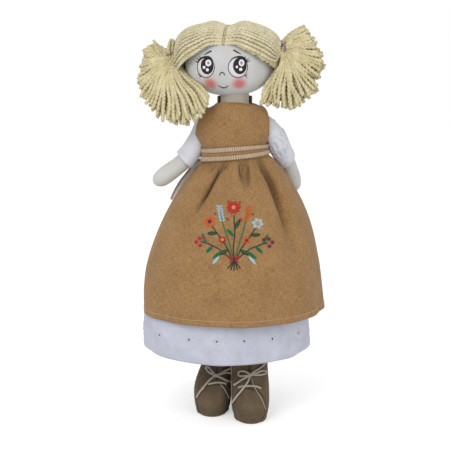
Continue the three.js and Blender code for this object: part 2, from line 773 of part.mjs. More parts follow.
const bootColumns = 18;
const footColumns = 12;
const soleTop = soleThickness + gap;
const bootLevels = [0, 0.08, 0.2, 0.31, 0.39, 0.47, 0.56, 0.7, 1]
  .map((share) => THREE.MathUtils.lerp(soleTop, bootHeight, share));
const bootForm = (out) => loft(rings(bootSurface, bootLevels, out, bootColumns));
const wide = bootLength + overrun;
const aheadOf = (y) => box(at(-wide, -wide, -wide), at(wide, y, bootHeight + wide));
const behind = (y) => box(at(-wide, y, -wide), at(wide, wide, bootHeight + wide));
const slit = box(at(-slitWidth / 2, -wide, slitLow), at(slitWidth / 2, 0, bootHeight + wide));
const tongueOut = -(feltThickness + gap);
const footOut = tongueOut - tongueThickness - gap;
const tongueRoom = box(
  at(-tongueWidth / 2, -wide, slitLow - tongueWidth),
  at(tongueWidth / 2, -tongueWidth / 2, tongueHeight),
);
const laceRadius = laceDiameter / 2;
const onBoot = (turn, share, out = laceRadius + gap) => (
  lifted(bootSurface, turn, bootHeight * share, out)
);

// Each lace has a strand across the instep, one down the edge of the quarter, and a bow of two loops and two ends.
function laceForm() {
  const knotPoint = onBoot(-90, 0.56, laceDiameter * 1.3);
  const from = (x, y, z) => at(
    knotPoint.x + x * laceDiameter,
    knotPoint.y + y * laceDiameter,
    knotPoint.z + z * laceDiameter,
  );
  const strand = cord([-112, -104, -97, -90, -83, -76, -68].map((turn) => onBoot(turn, 0.465)), laceRadius, 6);
  const edge = cord([
    knotPoint,
    onBoot(-101, 0.5),
    onBoot(-117, 0.44),
    onBoot(-133, 0.35),
    onBoot(-146, 0.24),
    onBoot(-151, 0.15),
  ], laceRadius, 6);
  const loop = (side, lift) => cord([
    from(0, 0, 0),
    from(side * 2.4, -0.9, lift + 0.9),
    from(side * 5.2, -1, lift + 1.1),
    from(side * 6.8, -0.9, lift),
    from(side * 5.4, -0.9, lift - 1.1),
    from(side * 2.6, -0.7, lift - 0.9),
    from(0, -0.3, 0),
  ], laceRadius, 8);
  const end = (side, lift) => cord([
    from(0, 0, 0),
    from(side * 2.6, -1.2, lift * 0.3),
    from(side * 5.4, -1.6, lift * 0.75),
    from(side * 8, -1.4, lift),
  ], laceRadius, 4);
  const knotForm = solid(new THREE.SphereGeometry(laceDiameter * 1.35, 8, 6)
    .scale(1.1, 0.8, 0.9).translate(knotPoint.x, knotPoint.y, knotPoint.z));
  return join(knotForm, strand, edge, loop(-1, 0), loop(1, 0.4), end(-1, -5.2), end(1, 4));
}

Object.entries(sides).forEach(([name, side]) => {
  const ankle = at(footShift + (side * footSpacing) / 2, footBack - (side * stride) / 2, 0);
  const place = (made) => made.translate([ankle.x, ankle.y, ankle.z]);
  const soleRing = (z) => ring(bootSurface, bootLevels[1], soleWelt, bootColumns).map((p) => at(p.x, p.y, z));
  add(`${name}_sole`, place(loft([soleRing(0), soleRing(soleThickness)])), 'felt');
  const vamp = cut(
    shell(bootSurface, bootLevels, -feltStep, -feltStep - feltThickness, bootColumns),
    behind(-toeSeam - gap / 2),
  ).add(tongueRoom.intersect(
    shell(bootSurface, bootLevels, tongueOut, tongueOut - tongueThickness, bootColumns),
  ));
  add(`${name}_vamp`, place(largest(vamp)), 'felt');
  const quarter = cut(
    shell(bootSurface, bootLevels, 0, -feltThickness, bootColumns),
    aheadOf(-toeSeam + gap / 2),
    slit,
  );
  add(`${name}_quarter`, place(largest(quarter)), 'felt');
  const lace = cut(place(laceForm()), place(bootForm(gap / 2)));
  add(`${name}_lace`, largest(lace), 'lace');
  const footLevels = bootLevels.slice(0, -1).map((z) => z + gap);
  const foot = place(loft(rings(bootSurface, footLevels, footOut, footColumns)));
  const shin = limb([
    hipPoint(side),
    at(ankle.x, ankle.y, bootHeight * 0.55).lerp(hipPoint(side), 0.5),
    at(ankle.x, ankle.y, bootHeight * 0.55),
  ], (share) => THREE.MathUtils.lerp(legRadius, ankleDiameter / 2, share ** 1.2), 6, 12);
  add(`${name}_leg`, largest(join(ball(legRadius, hipPoint(side)), shin, foot)), 'skin');
});

// The whole doll stands on the middle of its own bounding box.
const bounds = new THREE.Box3().setFromObject(doll);
const middle = bounds.getCenter(at(0, 0, 0));
doll.children.forEach((mesh) => mesh.geometry.translate(-middle.x, -middle.y, -bounds.min.z));

export default doll;
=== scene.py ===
import math

import bmesh
import bpy
import numpy as np
from mathutils import Euler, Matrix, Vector
from mathutils.bvhtree import BVHTree


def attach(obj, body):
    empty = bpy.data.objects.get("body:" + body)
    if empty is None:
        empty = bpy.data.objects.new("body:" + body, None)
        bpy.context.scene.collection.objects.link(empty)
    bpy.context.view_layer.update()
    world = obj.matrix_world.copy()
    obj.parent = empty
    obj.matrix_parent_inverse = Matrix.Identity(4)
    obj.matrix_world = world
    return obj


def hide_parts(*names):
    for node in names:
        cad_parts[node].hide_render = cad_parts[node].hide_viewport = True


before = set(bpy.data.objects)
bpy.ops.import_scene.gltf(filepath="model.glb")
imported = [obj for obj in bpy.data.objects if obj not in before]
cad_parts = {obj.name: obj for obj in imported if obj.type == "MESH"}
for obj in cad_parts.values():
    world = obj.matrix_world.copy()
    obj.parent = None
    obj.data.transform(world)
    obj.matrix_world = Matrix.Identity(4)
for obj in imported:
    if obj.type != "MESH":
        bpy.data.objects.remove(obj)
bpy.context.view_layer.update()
scene = bpy.context.scene

# Camera: a metre in front of the doll and a little above its middle, as in the photograph.
# A pixel of the photograph gives a line of sight, by which printed and sewn details are placed.
picture_width = 450
focal_pixels = 979
axis_pixel = (232.8, 218.5)
camera_pitch = 0.1733
sensor_width = 36
camera_data = bpy.data.cameras.new("camera")
camera_data.sensor_width = sensor_width
camera_data.lens = focal_pixels * sensor_width / picture_width
camera_data.shift_x = (picture_width / 2 - axis_pixel[0]) / picture_width
camera_data.shift_y = (axis_pixel[1] - picture_width / 2) / picture_width
camera = bpy.data.objects.new("camera", camera_data)
camera.location = (0, -1.0, 0.38)
camera.rotation_euler = (math.pi / 2 - camera_pitch, 0, 0)
scene.collection.objects.link(camera)
scene.camera = camera
scene.view_settings.view_transform = "Standard"


def line_of_sight(x, y):
    """The direction in which the camera sees a pixel of the photograph."""
    seen = Vector((x - axis_pixel[0], axis_pixel[1] - y, -focal_pixels))
    return (camera.rotation_euler.to_matrix() @ seen).normalized()


def pixels_of(places):
    """The pixels at which the camera sees places in metres."""
    seen = (np.array(places) - np.array(camera.location)) @ np.array(camera.rotation_euler.to_matrix())
    return np.stack((
        axis_pixel[0] - focal_pixels * seen[:, 0] / seen[:, 2],
        axis_pixel[1] + focal_pixels * seen[:, 1] / seen[:, 2],
    ), axis=1)


# Studio: a pale floor, a white surround, and a broad soft lamp on each side of the camera.
# The floor is a little brighter to the camera than to the doll, so that it reads as white paper.
floor_size = 8
floor_glow = 0.42
surround_light = 0.67


def new_finish(name, roughness, sheen=0.0):
    """A node material with its shader, whose plain values are set on the shader itself."""
    finish = bpy.data.materials.new(name)
    finish.use_nodes = True
    shader = finish.node_tree.nodes["Principled BSDF"]
    shader.inputs["Roughness"].default_value = roughness
    shader.inputs["Sheen Weight"].default_value = sheen
    shader.inputs["Specular IOR Level"].default_value = 0.25
    return finish, finish.node_tree, shader


def add_node(tree, kind, inputs=None, **settings):
    """A node with its settings, and a value or another node's output for each input that is named."""
    made = tree.nodes.new(kind)
    for key, value in settings.items():
        setattr(made, key, value)
    for key, value in (inputs or {}).items():
        if isinstance(value, bpy.types.NodeSocket):
            tree.links.new(value, made.inputs[key])
        else:
            made.inputs[key].default_value = value
    return made


def from_srgb(red, green, blue):
    """A colour as a screen shows it, in the linear values that a shader takes."""
    channels = np.array((red, green, blue)) / 255
    linear = np.where(channels <= 0.04045, channels / 12.92, ((channels + 0.055) / 1.055) ** 2.4)
    return (*linear, 1)


def worked_out(tree, operation, first, second=0.0):
    """A sum on one or two values."""
    return add_node(tree, "ShaderNodeMath", {0: first, 1: second}, operation=operation).outputs[0]


def mapped(tree, value, low, high, start=0.0, end=1.0, **settings):
    """A value spread from one range over another."""
    return add_node(tree, "ShaderNodeMapRange", {
        "Value": value, "From Min": low, "From Max": high, "To Min": start, "To Max": end,
    }, **settings).outputs["Result"]


floor_mesh = bmesh.new()
bmesh.ops.create_grid(floor_mesh, x_segments=1, y_segments=1, size=floor_size / 2)
floor_data = bpy.data.meshes.new("floor")
floor_mesh.to_mesh(floor_data)
floor_mesh.free()
floor = bpy.data.objects.new("floor", floor_data)
scene.collection.objects.link(floor)
paper, tree, shader = new_finish("paper", 1)
shader.inputs["Base Color"].default_value = (0.88, 0.88, 0.88, 1)
shader.inputs["Emission Color"].default_value = (1, 1, 1, 1)
path = add_node(tree, "ShaderNodeLightPath")
seen = worked_out(tree, "MULTIPLY", path.outputs["Is Camera Ray"], floor_glow)
tree.links.new(seen, shader.inputs["Emission Strength"])
floor_data.materials.append(paper)

world = bpy.data.worlds.new("surround")
world.use_nodes = True
scene.world = world
tree = world.node_tree
path = add_node(tree, "ShaderNodeLightPath")
mirrored = worked_out(tree, "MAXIMUM", path.outputs["Is Glossy Ray"], path.outputs["Is Transmission Ray"])
shown = worked_out(tree, "MAXIMUM", path.outputs["Is Camera Ray"], mirrored)
level = mapped(tree, shown, 0, 1, surround_light)
tree.links.new(level, tree.nodes["Background"].inputs["Strength"])
tree.nodes["Background"].inputs["Color"].default_value = (1, 1, 1, 1)

for name, place, size, power in (
    ("key_lamp", (-0.9, -1.5, 1.5), 1.2, 14),
    ("fill_lamp", (1.3, -1.4, 0.9), 1.5, 6.5),
):
    lamp_data = bpy.data.lights.new(name, "AREA")
    lamp_data.shape = "DISK"
    lamp_data.size = size
    lamp_data.energy = power
    lamp = bpy.data.objects.new(name, lamp_data)
    lamp.location = place
    lamp.rotation_euler = (Vector((0, 0, 0.22)) - Vector(place)).to_track_quat("-Z", "Y").to_euler()
    scene.collection.objects.link(lamp)

# Stuffed body: a fibre-filled cotton bag with a stiff round neck, which the clothes cover up to the neck.
# Heights and widths are the CAD part's, in millimetres from the floor and from the middle of the chest.
mm = 0.001
centring = 1.0214
hip_height = 205
shoulder_height = 322
torso_height = shoulder_height - hip_height
chest_width = 68
chest_depth = 43
body_squareness = 2.4
neck_radius = 14.4
neck_length = 15.5
neck_shift = 1
seat_lift = 3
neck_fillet = 4
body_shares = np.array([
    [0.02, 0.9, 0.94, 0],
    [0.1, 0.96, 1, 0.01],
    [0.25, 0.94, 1.02, 0.03],
    [0.42, 0.89, 0.94, 0.05],
    [0.52, 0.92, 0.92, 0.038],
    [0.64, 0.87, 0.97, 0.008],
    [0.77, 1, 1, -0.015],
    [0.86, 0.985, 0.94, -0.015],
    [0.92, 0.91, 0.85, -0.005],
    [0.965, 0.79, 0.77, 0.005],
    [1, 0.52, 0.71, 0.015],
])


def smooth(table, column, position):
    """A smooth curve through a column of a table whose rows start with a position."""
    places, values = table[:, 0], table[:, column]
    rows = np.arange(len(table))
    before, after = np.maximum(rows - 1, 0), np.minimum(rows + 1, len(table) - 1)
    slopes = (values[after] - values[before]) / (places[after] - places[before])
    i = np.clip(np.searchsorted(places, position, side="right") - 1, 0, len(table) - 2)
    span = places[i + 1] - places[i]
    t = np.clip((position - places[i]) / span, 0, 1)
    eased = t * t * (3 - 2 * t)
    bulge = t * (1 - t) * span
    return (1 - eased) * values[i] + eased * values[i + 1] + bulge * ((1 - t) * slopes[i] - t * slopes[i + 1])


def lengths_along(line):
    """How far along a line each of its places lies."""
    return np.concatenate(([0], np.cumsum(np.linalg.norm(np.diff(line, axis=0), axis=1))))


def along_line(reached, marks, line):
    """The places at given marks on a line that is straight between its own marked places."""
    return np.stack([np.interp(reached, marks, column) for column in line.T], axis=-1)


def cos_of(turn):
    return np.cos(np.radians(turn))


def sin_of(turn):
    return np.sin(np.radians(turn))


def bend(value, squareness):
    """A cosine or sine of a turn round an oval that is squarer than an ellipse."""
    return np.sign(value) * np.abs(value) ** (2 / squareness)


def across(turn, squareness):
    return bend(cos_of(turn), squareness)


def along(turn, squareness):
    return bend(sin_of(turn), squareness)


def body_surface(turn, height):
    """The stuffed body's skin, where a turn of 0 is the doll's left and -90 is its front."""
    share = (height - hip_height) / torso_height
    middle, wide, deep = (smooth(body_shares, column, share) for column in (3, 1, 2))
    return np.stack((
        chest_width * (middle + (wide / 2) * across(turn, body_squareness)),
        (chest_depth / 2) * deep * along(turn, body_squareness),
        height + 0 * turn,
    ), axis=-1)


def neck_surface(turn, height, radius=neck_radius):
    return np.stack((neck_shift + radius * cos_of(turn), radius * sin_of(turn), height + 0 * turn), axis=-1)


def stuffed_torso(turn, height):
    """The body up to the shoulders, easing into the neck above them."""
    rise = np.clip((height - shoulder_height) / neck_fillet, 0, 1)[..., None]
    eased = 1 - (1 - rise) ** 3
    low = body_surface(turn, np.minimum(height, shoulder_height))
    made = low * (1 - eased) + neck_surface(turn, height) * eased
    made[..., 2] = height
    return made


def lifted(surface, turn, level, out):
    """The places that stand a given distance off a surface, square to it."""
    probe = 0.01
    here = surface(turn, level)
    downward = surface(turn, level - probe) - here
    sideways = surface(turn + probe, level) - here
    normal = np.cross(downward, sideways)
    return here + np.asarray(out)[..., None] * normal / np.linalg.norm(normal, axis=-1, keepdims=True)


def in_frame(places):
    """Places in millimetres of the CAD source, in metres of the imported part."""
    return (np.asarray(places) + np.array((centring, 0, 0))) * mm


def places_of(mesh):
    return np.array([vert.co for vert in mesh.verts])


def move_to(mesh, places):
    for vert, place in zip(mesh.verts, places):
        vert.co = place


def wrapped(surface, columns, rows, cloth=(1, 1), closed=True, placed=in_frame, folds=None):
    """A grid wrapped round the doll. The surface gives places for shares of the way round and up, the
    cloth's width and length in millimetres scale the grid's own map for the weave, and folds gives how
    deep in a fold a place lies."""
    mesh = bmesh.new()
    weave_map = mesh.loops.layers.uv.new("cloth")
    bmesh.ops.create_grid(mesh, x_segments=columns, y_segments=rows, size=0.5)
    for face in mesh.faces:
        for corner in face.loops:
            share = corner.vert.co
            corner[weave_map].uv = ((share.x + 0.5) * cloth[0] * mm, (share.y + 0.5) * cloth[1] * mm)
    shares = places_of(mesh) + 0.5
    move_to(mesh, placed(surface(shares[:, 0], shares[:, 1])))
    if folds is not None:
        # Each place's fold depth is kept on the mesh, for the shade that the cloth's finish paints into
        # creases.
        fold = mesh.verts.layers.float.new("fold")
        for vert, depth in zip(mesh.verts, folds(shares[:, 0], shares[:, 1])):
            vert[fold] = depth
    if closed:
        bmesh.ops.remove_doubles(mesh, verts=mesh.verts, dist=mm / 1000)
    face_outward(mesh)
    return mesh


def face_outward(mesh):
    """Turns a sheet's faces, which all face the same way, away from the doll's middle line."""
    mesh.normal_update()
    outward = 0
    for face in mesh.faces:
        off = face.calc_center_median()
        outward += face.calc_area() * face.normal.dot(Vector((off.x - centring * mm, off.y, 0)))
    if outward < 0:
        bmesh.ops.reverse_faces(mesh, faces=mesh.faces)


def close_ends(mesh):
    """Shuts both open ends of a wrapped grid with a fan."""
    ends = [edge for edge in mesh.edges if edge.is_boundary]
    made = bmesh.ops.holes_fill(mesh, edges=ends, sides=0)
    bmesh.ops.poke(mesh, faces=made["faces"])
    bmesh.ops.recalc_face_normals(mesh, faces=mesh.faces)


def make_piece(name, mesh, finish, body, node=None):
    """A bmesh as a smooth piece that rides on a CAD body, and may stand for a CAD node."""
    data = bpy.data.meshes.new(name)
    mesh.to_mesh(data)
    mesh.free()
    data.shade_smooth()
    data.materials.append(finish)
    piece = bpy.data.objects.new(name, data)
    scene.collection.objects.link(piece)
    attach(piece, body)
    if node is not None:
        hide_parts(node)
    return piece


def thicken(piece, thickness, offset=-1):
    """Gives a sheet its thickness, by default inward from its drawn side."""
    wall = piece.modifiers.new("thickness", "SOLIDIFY")
    wall.thickness = thickness * mm
    wall.offset = offset


def mean_of(tree, share, first, second):
    """A value between two."""
    return add_node(tree, "ShaderNodeMix", {"Factor": share, "A": first, "B": second}).outputs["Result"]


def plain_weave():
    """Threads over and under each other, with thick and thin places along them."""
    group = bpy.data.node_groups.new("plain_weave", "ShaderNodeTree")
    for label, kind in (("Vector", "Vector"), ("Threads per metre", "Float"), ("Slub length", "Float")):
        group.interface.new_socket(label, in_out="INPUT", socket_type="NodeSocket" + kind)
    for label in ("Height", "Slubs"):
        group.interface.new_socket(label, in_out="OUTPUT", socket_type="NodeSocketFloat")
    given, result = group.nodes.new("NodeGroupInput").outputs, group.nodes.new("NodeGroupOutput").inputs
    count = add_node(group, "ShaderNodeVectorMath", {
        0: given["Vector"], "Scale": given["Threads per metre"]}, operation="SCALE")
    parts = add_node(group, "ShaderNodeSeparateXYZ", {0: count.outputs[0]}).outputs
    waves, slubs = [], []
    for run, width in (("X", "Y"), ("Y", "X")):
        angle = worked_out(group, "MULTIPLY", parts[run], math.pi)
        waves.append(worked_out(group, "SINE", angle))
        short = worked_out(group, "DIVIDE", parts[run], given["Slub length"])
        stretched = add_node(group, "ShaderNodeCombineXYZ", {0: short, 1: parts[width]})
        slubs.append(add_node(group, "ShaderNodeTexNoise", {
            "Vector": stretched.outputs[0], "Scale": 1.0, "Detail": 2.0,
        }, noise_dimensions="2D").outputs["Fac"])
    over = worked_out(group, "GREATER_THAN", worked_out(group, "MULTIPLY", *waves))
    rounds = [worked_out(group, "ABSOLUTE", wave) for wave in waves]
    group.links.new(mean_of(group, over, *rounds), result["Height"])
    group.links.new(mean_of(group, 0.5, *slubs), result["Slubs"])
    return group


weave = plain_weave()
# How dark the cloth is painted at the deepest crease: painted shade.
painted_crease_shade = 0.5


def mix_colours(tree, factor, first, second):
    """A colour between two, where sockets 6 and 7 are the Mix node's colours and 2 its colour result."""
    return add_node(tree, "ShaderNodeMix", {0: factor, 6: first, 7: second}, data_type="RGBA").outputs[2]


def colour_with(tree, shader, factor, dark, light):
    """Gives a shader a colour between two, written as a screen shows them."""
    tree.links.new(
        mix_colours(tree, factor, from_srgb(*dark), from_srgb(*light)), shader.inputs["Base Color"])


def raise_with(tree, shader, height, depth, strength=0.6):
    """Gives a shader a relief of a depth in millimetres."""
    relief = add_node(tree, "ShaderNodeBump", {
        "Height": height, "Distance": depth * mm, "Strength": strength})
    tree.links.new(relief.outputs["Normal"], shader.inputs["Normal"])


def noise(tree, scale, detail=2.0, **more):
    """A noise through the piece's own space."""
    space = add_node(tree, "ShaderNodeTexCoord").outputs["Object"]
    return add_node(tree, "ShaderNodeTexNoise", {
        "Vector": space, "Scale": scale, "Detail": detail, **more}).outputs["Fac"]


def weave_on(tree, place, threads, slub):
    """The weave's height and slubs at a place on a cloth."""
    made = add_node(tree, "ShaderNodeGroup", {
        "Vector": place, "Threads per metre": threads, "Slub length": slub}, node_tree=weave)
    return made.outputs["Height"], made.outputs["Slubs"]


def woven(name, dark, light, threads, bump, sheen, mottle, slub=14):
    """A woven cloth in two shades, patterned on the piece's own map, with shade painted deep in a fold."""
    finish, tree, shader = new_finish(name, 0.9, sheen)
    cloth = add_node(tree, "ShaderNodeUVMap", uv_map="cloth")
    height, slubs = weave_on(tree, cloth.outputs["UV"], threads, slub)
    mixed = mean_of(tree, mottle, slubs, noise(tree, 55.0, 3.0))
    shade = mix_colours(tree, mapped(tree, mixed, 0.34, 0.66), from_srgb(*dark), from_srgb(*light))
    # Painted shade: the colour is darkened deep in a crease, by the fold depth that the mesh carries.
    fold = add_node(tree, "ShaderNodeAttribute", attribute_name="fold").outputs["Fac"]
    # Painted shade: the colour is also darker where the weave's threads dip under each other.
    level = worked_out(
        tree, "MULTIPLY", mapped(tree, height, 0, 1, 0.82), mapped(tree, fold, 0, 1, 1.0, painted_crease_shade))
    colour = add_node(tree, "ShaderNodeVectorMath", {0: shade, "Scale": level}, operation="SCALE")
    tree.links.new(colour.outputs[0], shader.inputs["Base Color"])
    raise_with(tree, shader, worked_out(tree, "ADD", height, slubs), bump)
    return finish


# The torso's cloth, which shows at the neck, is a darker, warmer copy of the head's and limbs' cloth: painted
# shade under the chin.
skin_cloth = woven("skin_cloth", (184, 177, 161), (198, 191, 175), 3400, 0.05, sheen=0.1, mottle=0.6)


def round_levels(surface, low, high, out=0.0, start=90):
    """A surface as a function of shares of the way round, from the doll's back, and up."""
    def at_shares(round_share, up_share):
        turn = start + 360 * round_share
        return lifted(surface, turn, low + (high - low) * up_share, out)
    return at_shares


def eased_step(value, low, high):
    share = np.clip((value - low) / (high - low), 0, 1)
    return share * share * (3 - 2 * share)


# The cloth at the shoulders lies a little higher before the neck and lower beside it than the flat pattern.
# The spreads are how far out it lies at some heights, on the doll's left and on its right.
neck_arch = 3.2
neck_arch_reach = 15.5
shoulder_falls = {1: 1.6, -1: 3.6}
shoulder_spreads = np.array([
    [276, 0, 0], [288, 0.2, 1.6], [298, 2, 2.2], [308, 4.6, 2.8], [315, 4.4, 2.6], [322, 3.2, 3.4]])


def arched(mesh):
    """Moves a mesh's places at the shoulders up before the neck, and down and a little out beside it."""
    for vert in mesh.verts:
        x = vert.co.x / mm - centring - neck_shift
        height = vert.co.z / mm
        side = 1 if x > 0 else -1
        spread = float(smooth(shoulder_spreads, 1 if side > 0 else 2, height))
        vert.co.x += side * spread * mm * eased_step(abs(x), neck_radius, chest_width / 2 - neck_fillet)
        near = eased_step(height, shoulder_height - 20, shoulder_height - 3)
        near *= 1 - eased_step(height, shoulder_height + 5, shoulder_height + 12)
        lift = neck_arch * max(-1.0, 1 - (x / neck_arch_reach) ** 2)
        if lift < 0:
            lift *= shoulder_falls[side] / neck_arch
        vert.co.z += lift * near * mm
    return mesh


torso_mesh = wrapped(
    round_levels(stuffed_torso, hip_height + seat_lift, shoulder_height + neck_length),
    96, 120, (200, 130),
)
close_ends(torso_mesh)
torso = make_piece("stuffed_torso", arched(torso_mesh), skin_cloth, "torso", "torso")

# Neck stick: a plain round dowel up the neck, which keeps the head from nodding. The stuffing hides it.
wood, tree, shader = new_finish("dowel_wood", 0.6)
solid = add_node(tree, "ShaderNodeTexCoord")
stretch = add_node(tree, "ShaderNodeMapping", {"Vector": solid.outputs["Object"], "Scale": (900, 900, 30)})
grain = add_node(tree, "ShaderNodeTexNoise", {"Vector": stretch.outputs[0], "Scale": 1.0, "Detail": 3.0})
colour_with(tree, shader, grain.outputs["Fac"], (196, 164, 120), (224, 197, 152))
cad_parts["neck_stick"].data.materials.clear()
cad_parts["neck_stick"].data.materials.append(wood)

# Underdress bodice: fine white cotton, cut close to the body. It shows a little at the armholes.
cotton_thickness = 1
gap = 0.3
waist_height = 266
waist_tilt = 5.5
belt_arch = 1.2
band_height = 12
seam_height = waist_height + band_height / 2
waist_reach = 2.2 * band_height
shoulder_drop = 16
shoulder_shift = -1
shoulder_spread = 54
shoulder_level = shoulder_height - shoulder_drop
neck_room = 1.6
armhole_height = 31
armhole_depth = 25
armhole_inset = 11
cut_reach = 40


def clothes_surface(turn, height):
    """The body with its levels sloping as the waist does, for the clothes."""
    near = np.exp(-((height - waist_height) / waist_reach) ** 2)
    slope = math.tan(math.radians(waist_tilt)) * near
    front = np.maximum(0, -sin_of(turn)) * near
    return body_surface(turn, height + body_surface(turn, height)[..., 0] * slope + belt_arch * front)


def rod_cutter(centre, half_sizes, axis):
    """A round rod along an axis of the frame, whose half sizes may differ, for cutting openings."""
    mesh = bmesh.new()
    bmesh.ops.create_cone(mesh, cap_ends=True, segments=64, radius1=1, radius2=1, depth=2)
    if axis == "X":
        bmesh.ops.rotate(mesh, verts=mesh.verts, matrix=Euler((0, math.pi / 2, 0)).to_matrix())
    bmesh.ops.scale(mesh, verts=mesh.verts, vec=[half * mm for half in half_sizes])
    bmesh.ops.translate(mesh, verts=mesh.verts, vec=in_frame(centre))
    return mesh


def armhole_cutters(room, cover=0):
    """The rods that cut both armholes, with room round the underdress's and a cover beside them."""
    reach = chest_width / 2 - armhole_inset - room + cover + cut_reach
    half_sizes = (cut_reach, armhole_depth / 2 + room, armhole_height / 2 + room)
    return [
        rod_cutter((shoulder_shift + side * reach, 0, shoulder_level), half_sizes, "X") for side in (-1, 1)
    ]


def neckline_cutter():
    return rod_cutter(
        (neck_shift, 0, shoulder_height - neck_length + cut_reach),
        (neck_radius + neck_room, neck_radius + neck_room, cut_reach),
        "Z",
    )


def carved(mesh, thickness, cutters):
    """A sheet given its thickness inward, with openings cut through it."""
    sheet = make_bare("carved_sheet", mesh)
    thicken(sheet, thickness)
    tools = [make_bare("cutter", cutter) for cutter in cutters]
    for tool in tools:
        hole = sheet.modifiers.new("opening", "BOOLEAN")
        hole.operation = "DIFFERENCE"
        hole.solver = "EXACT"
        hole.object = tool
    made = taken_from(sheet)
    for tool in tools:
        bpy.data.objects.remove(tool)
    return made


def taken_from(source):
    """An object's mesh with its modifiers, in place of the object."""
    mesh = bmesh.new()
    mesh.from_mesh(source.evaluated_get(bpy.context.evaluated_depsgraph_get()).to_mesh())
    bpy.data.objects.remove(source)
    return mesh


def make_bare(name, mesh):
    """A bmesh as an object for use while making another, later removed."""
    data = bpy.data.meshes.new(name)
    mesh.to_mesh(data)
    mesh.free()
    made = bpy.data.objects.new(name, data)
    scene.collection.objects.link(made)
    return made


white_cotton = woven(
    "white_cotton", (194, 196, 212), (216, 218, 232), 2600, 0.08, sheen=0.1, mottle=0.6)
underbodice_mesh = carved(
    wrapped(
        round_levels(clothes_surface, seam_height + gap / 2, shoulder_height, 2 * gap + cotton_thickness),
        144, 48, (216, 52),
    ),
    cotton_thickness, [neckline_cutter(), *armhole_cutters(0)],
)
underdress_bodice = make_piece(
    "underdress_bodice_cloth", arched(underbodice_mesh), white_cotton, "torso",
    "underdress_bodice")

# Pinafore bodice: brown linen, cut high at the neck, with turned edges and a short standing collar behind.
linen_thickness = 1.4
linen_inside = 2 * gap + cotton_thickness + gap
linen_outside = linen_inside + linen_thickness
collar_rise = 6
edge_roll = 0.8
strap_cover = 3.6
linen = woven("linen", (140, 104, 62), (186, 146, 98), 1500, 0.22, sheen=0.15, mottle=0.22, slub=7)


def thread_mesh(runs, radius, profile=None, sides=2, closed=False):
    """Threads as one mesh. A run is a list of (place in metres, share of the radius, twist) steps."""
    line = bpy.data.curves.new("thread", "CURVE")
    line.dimensions = "3D"
    line.use_fill_caps = True
    line.bevel_depth = radius * mm
    line.bevel_resolution = sides
    if profile is not None:
        line.bevel_mode = "OBJECT"
        line.bevel_object = profile
    for run in runs:
        spline = line.splines.new("POLY")
        spline.points.add(len(run) - 1)
        spline.use_cyclic_u = closed
        for point, (place, size, twist) in zip(spline.points, run):
            point.co = (*place, 1)
            point.radius = size
            point.tilt = twist
    drawn = bpy.data.objects.new("thread", line)
    scene.collection.objects.link(drawn)
    mesh = taken_from(drawn)
    bpy.data.curves.remove(line)
    bmesh.ops.remove_doubles(mesh, verts=mesh.verts, dist=mm / 1000)
    bmesh.ops.recalc_face_normals(mesh, faces=mesh.faces)
    return mesh


def plain_run(places):
    """A run of even thickness without twist through places in metres."""
    return [(place, 1, 0) for place in places]


bodice_mesh = carved(
    wrapped(
        round_levels(clothes_surface, seam_height + gap / 2, shoulder_height, linen_outside),
        192, 60, (232, 54),
    ),
    linen_thickness, [neckline_cutter(), *armhole_cutters(gap, strap_cover)],
)
bodice_tree = BVHTree.FromBMesh(bodice_mesh)
pinafore_bodice = make_piece(
    "pinafore_bodice_linen", arched(bodice_mesh), linen, "torso", "pinafore_bodice")


def first_hit(tree, origin, direction):
    """The place where a line first meets a surface, and the surface's direction there."""
    place, normal, _, _ = tree.ray_cast(Vector(origin), Vector(direction))
    return place, normal


def neckline_run():
    """The line of the bodice's top edge round the neck."""
    turns = np.arange(72) * 5.0
    return in_frame(lifted(clothes_surface, turns, shoulder_height, linen_outside - linen_thickness / 2))


def armhole_run(side):
    """The line of an armhole's edge, followed inward onto the bodice from the side."""
    steps = 64
    places = []
    for i in range(steps):
        angle = 2 * math.pi * i / steps
        forward = (armhole_depth / 2 + gap + edge_roll) * mm * math.cos(angle)
        level = (shoulder_level + (armhole_height / 2 + gap + edge_roll) * math.sin(angle)) * mm
        place, _ = first_hit(bodice_tree, (side * 0.1, forward, level), (-side, 0, 0))
        if place is not None:
            places.append(place - Vector((side * edge_roll * mm / 2, 0, 0)))
    return places


for name, places in (
    ("neckline_edge", neckline_run()),
    ("left_armhole_edge", armhole_run(1)),
    ("right_armhole_edge", armhole_run(-1)),
):
    edge = arched(thread_mesh([plain_run(places)], edge_roll, closed=True))
    make_piece(name, edge, linen, "torso")


def collar_surface(round_share, up_share):
    """The standing collar, from the doll's right round the back to its left."""
    seam = 2 * linen_thickness
    height = shoulder_height - seam + up_share * (linen_outside + collar_rise + seam)
    return neck_surface(180 * (1 - round_share), height, neck_radius + neck_room + linen_thickness)


collar = make_piece(
    "back_collar", arched(wrapped(collar_surface, 64, 12, (54, 12), closed=False)), linen, "torso")
thicken(collar, linen_thickness)

# Waistband: a folded strip of the linen over the seam, with two cream tapes sewn round it.
band_thickness = 0.9
tape_height = 4.4
tape_thickness = 0.6
band_inside = linen_outside + 1.5 * gap
band_outside = band_inside + band_thickness
belt_rise = 2.2
band_ease = 1


def belt(name, node, low, height, out, thickness, finish, rows=10):
    """A strip right round the waist, whose outer side stands a given distance off the body."""
    form = wrapped(round_levels(clothes_surface, low, low + height, out), 240, rows, (240, height))
    strip = make_piece(name, form, finish, "torso", node)
    thicken(strip, thickness)
    return strip


def map_parts(tree):
    """The places along and across a cloth, in metres of its own map."""
    cloth = add_node(tree, "ShaderNodeUVMap", uv_map="cloth")
    return add_node(tree, "ShaderNodeSeparateXYZ", {0: cloth.outputs["UV"]}).outputs


def rib_wave(tree, spacing):
    """Ribs across a tape, a spacing in millimetres apart."""
    return worked_out(tree, "SINE", worked_out(
        tree, "MULTIPLY", map_parts(tree)["X"], 2 * math.pi / (spacing * mm)))


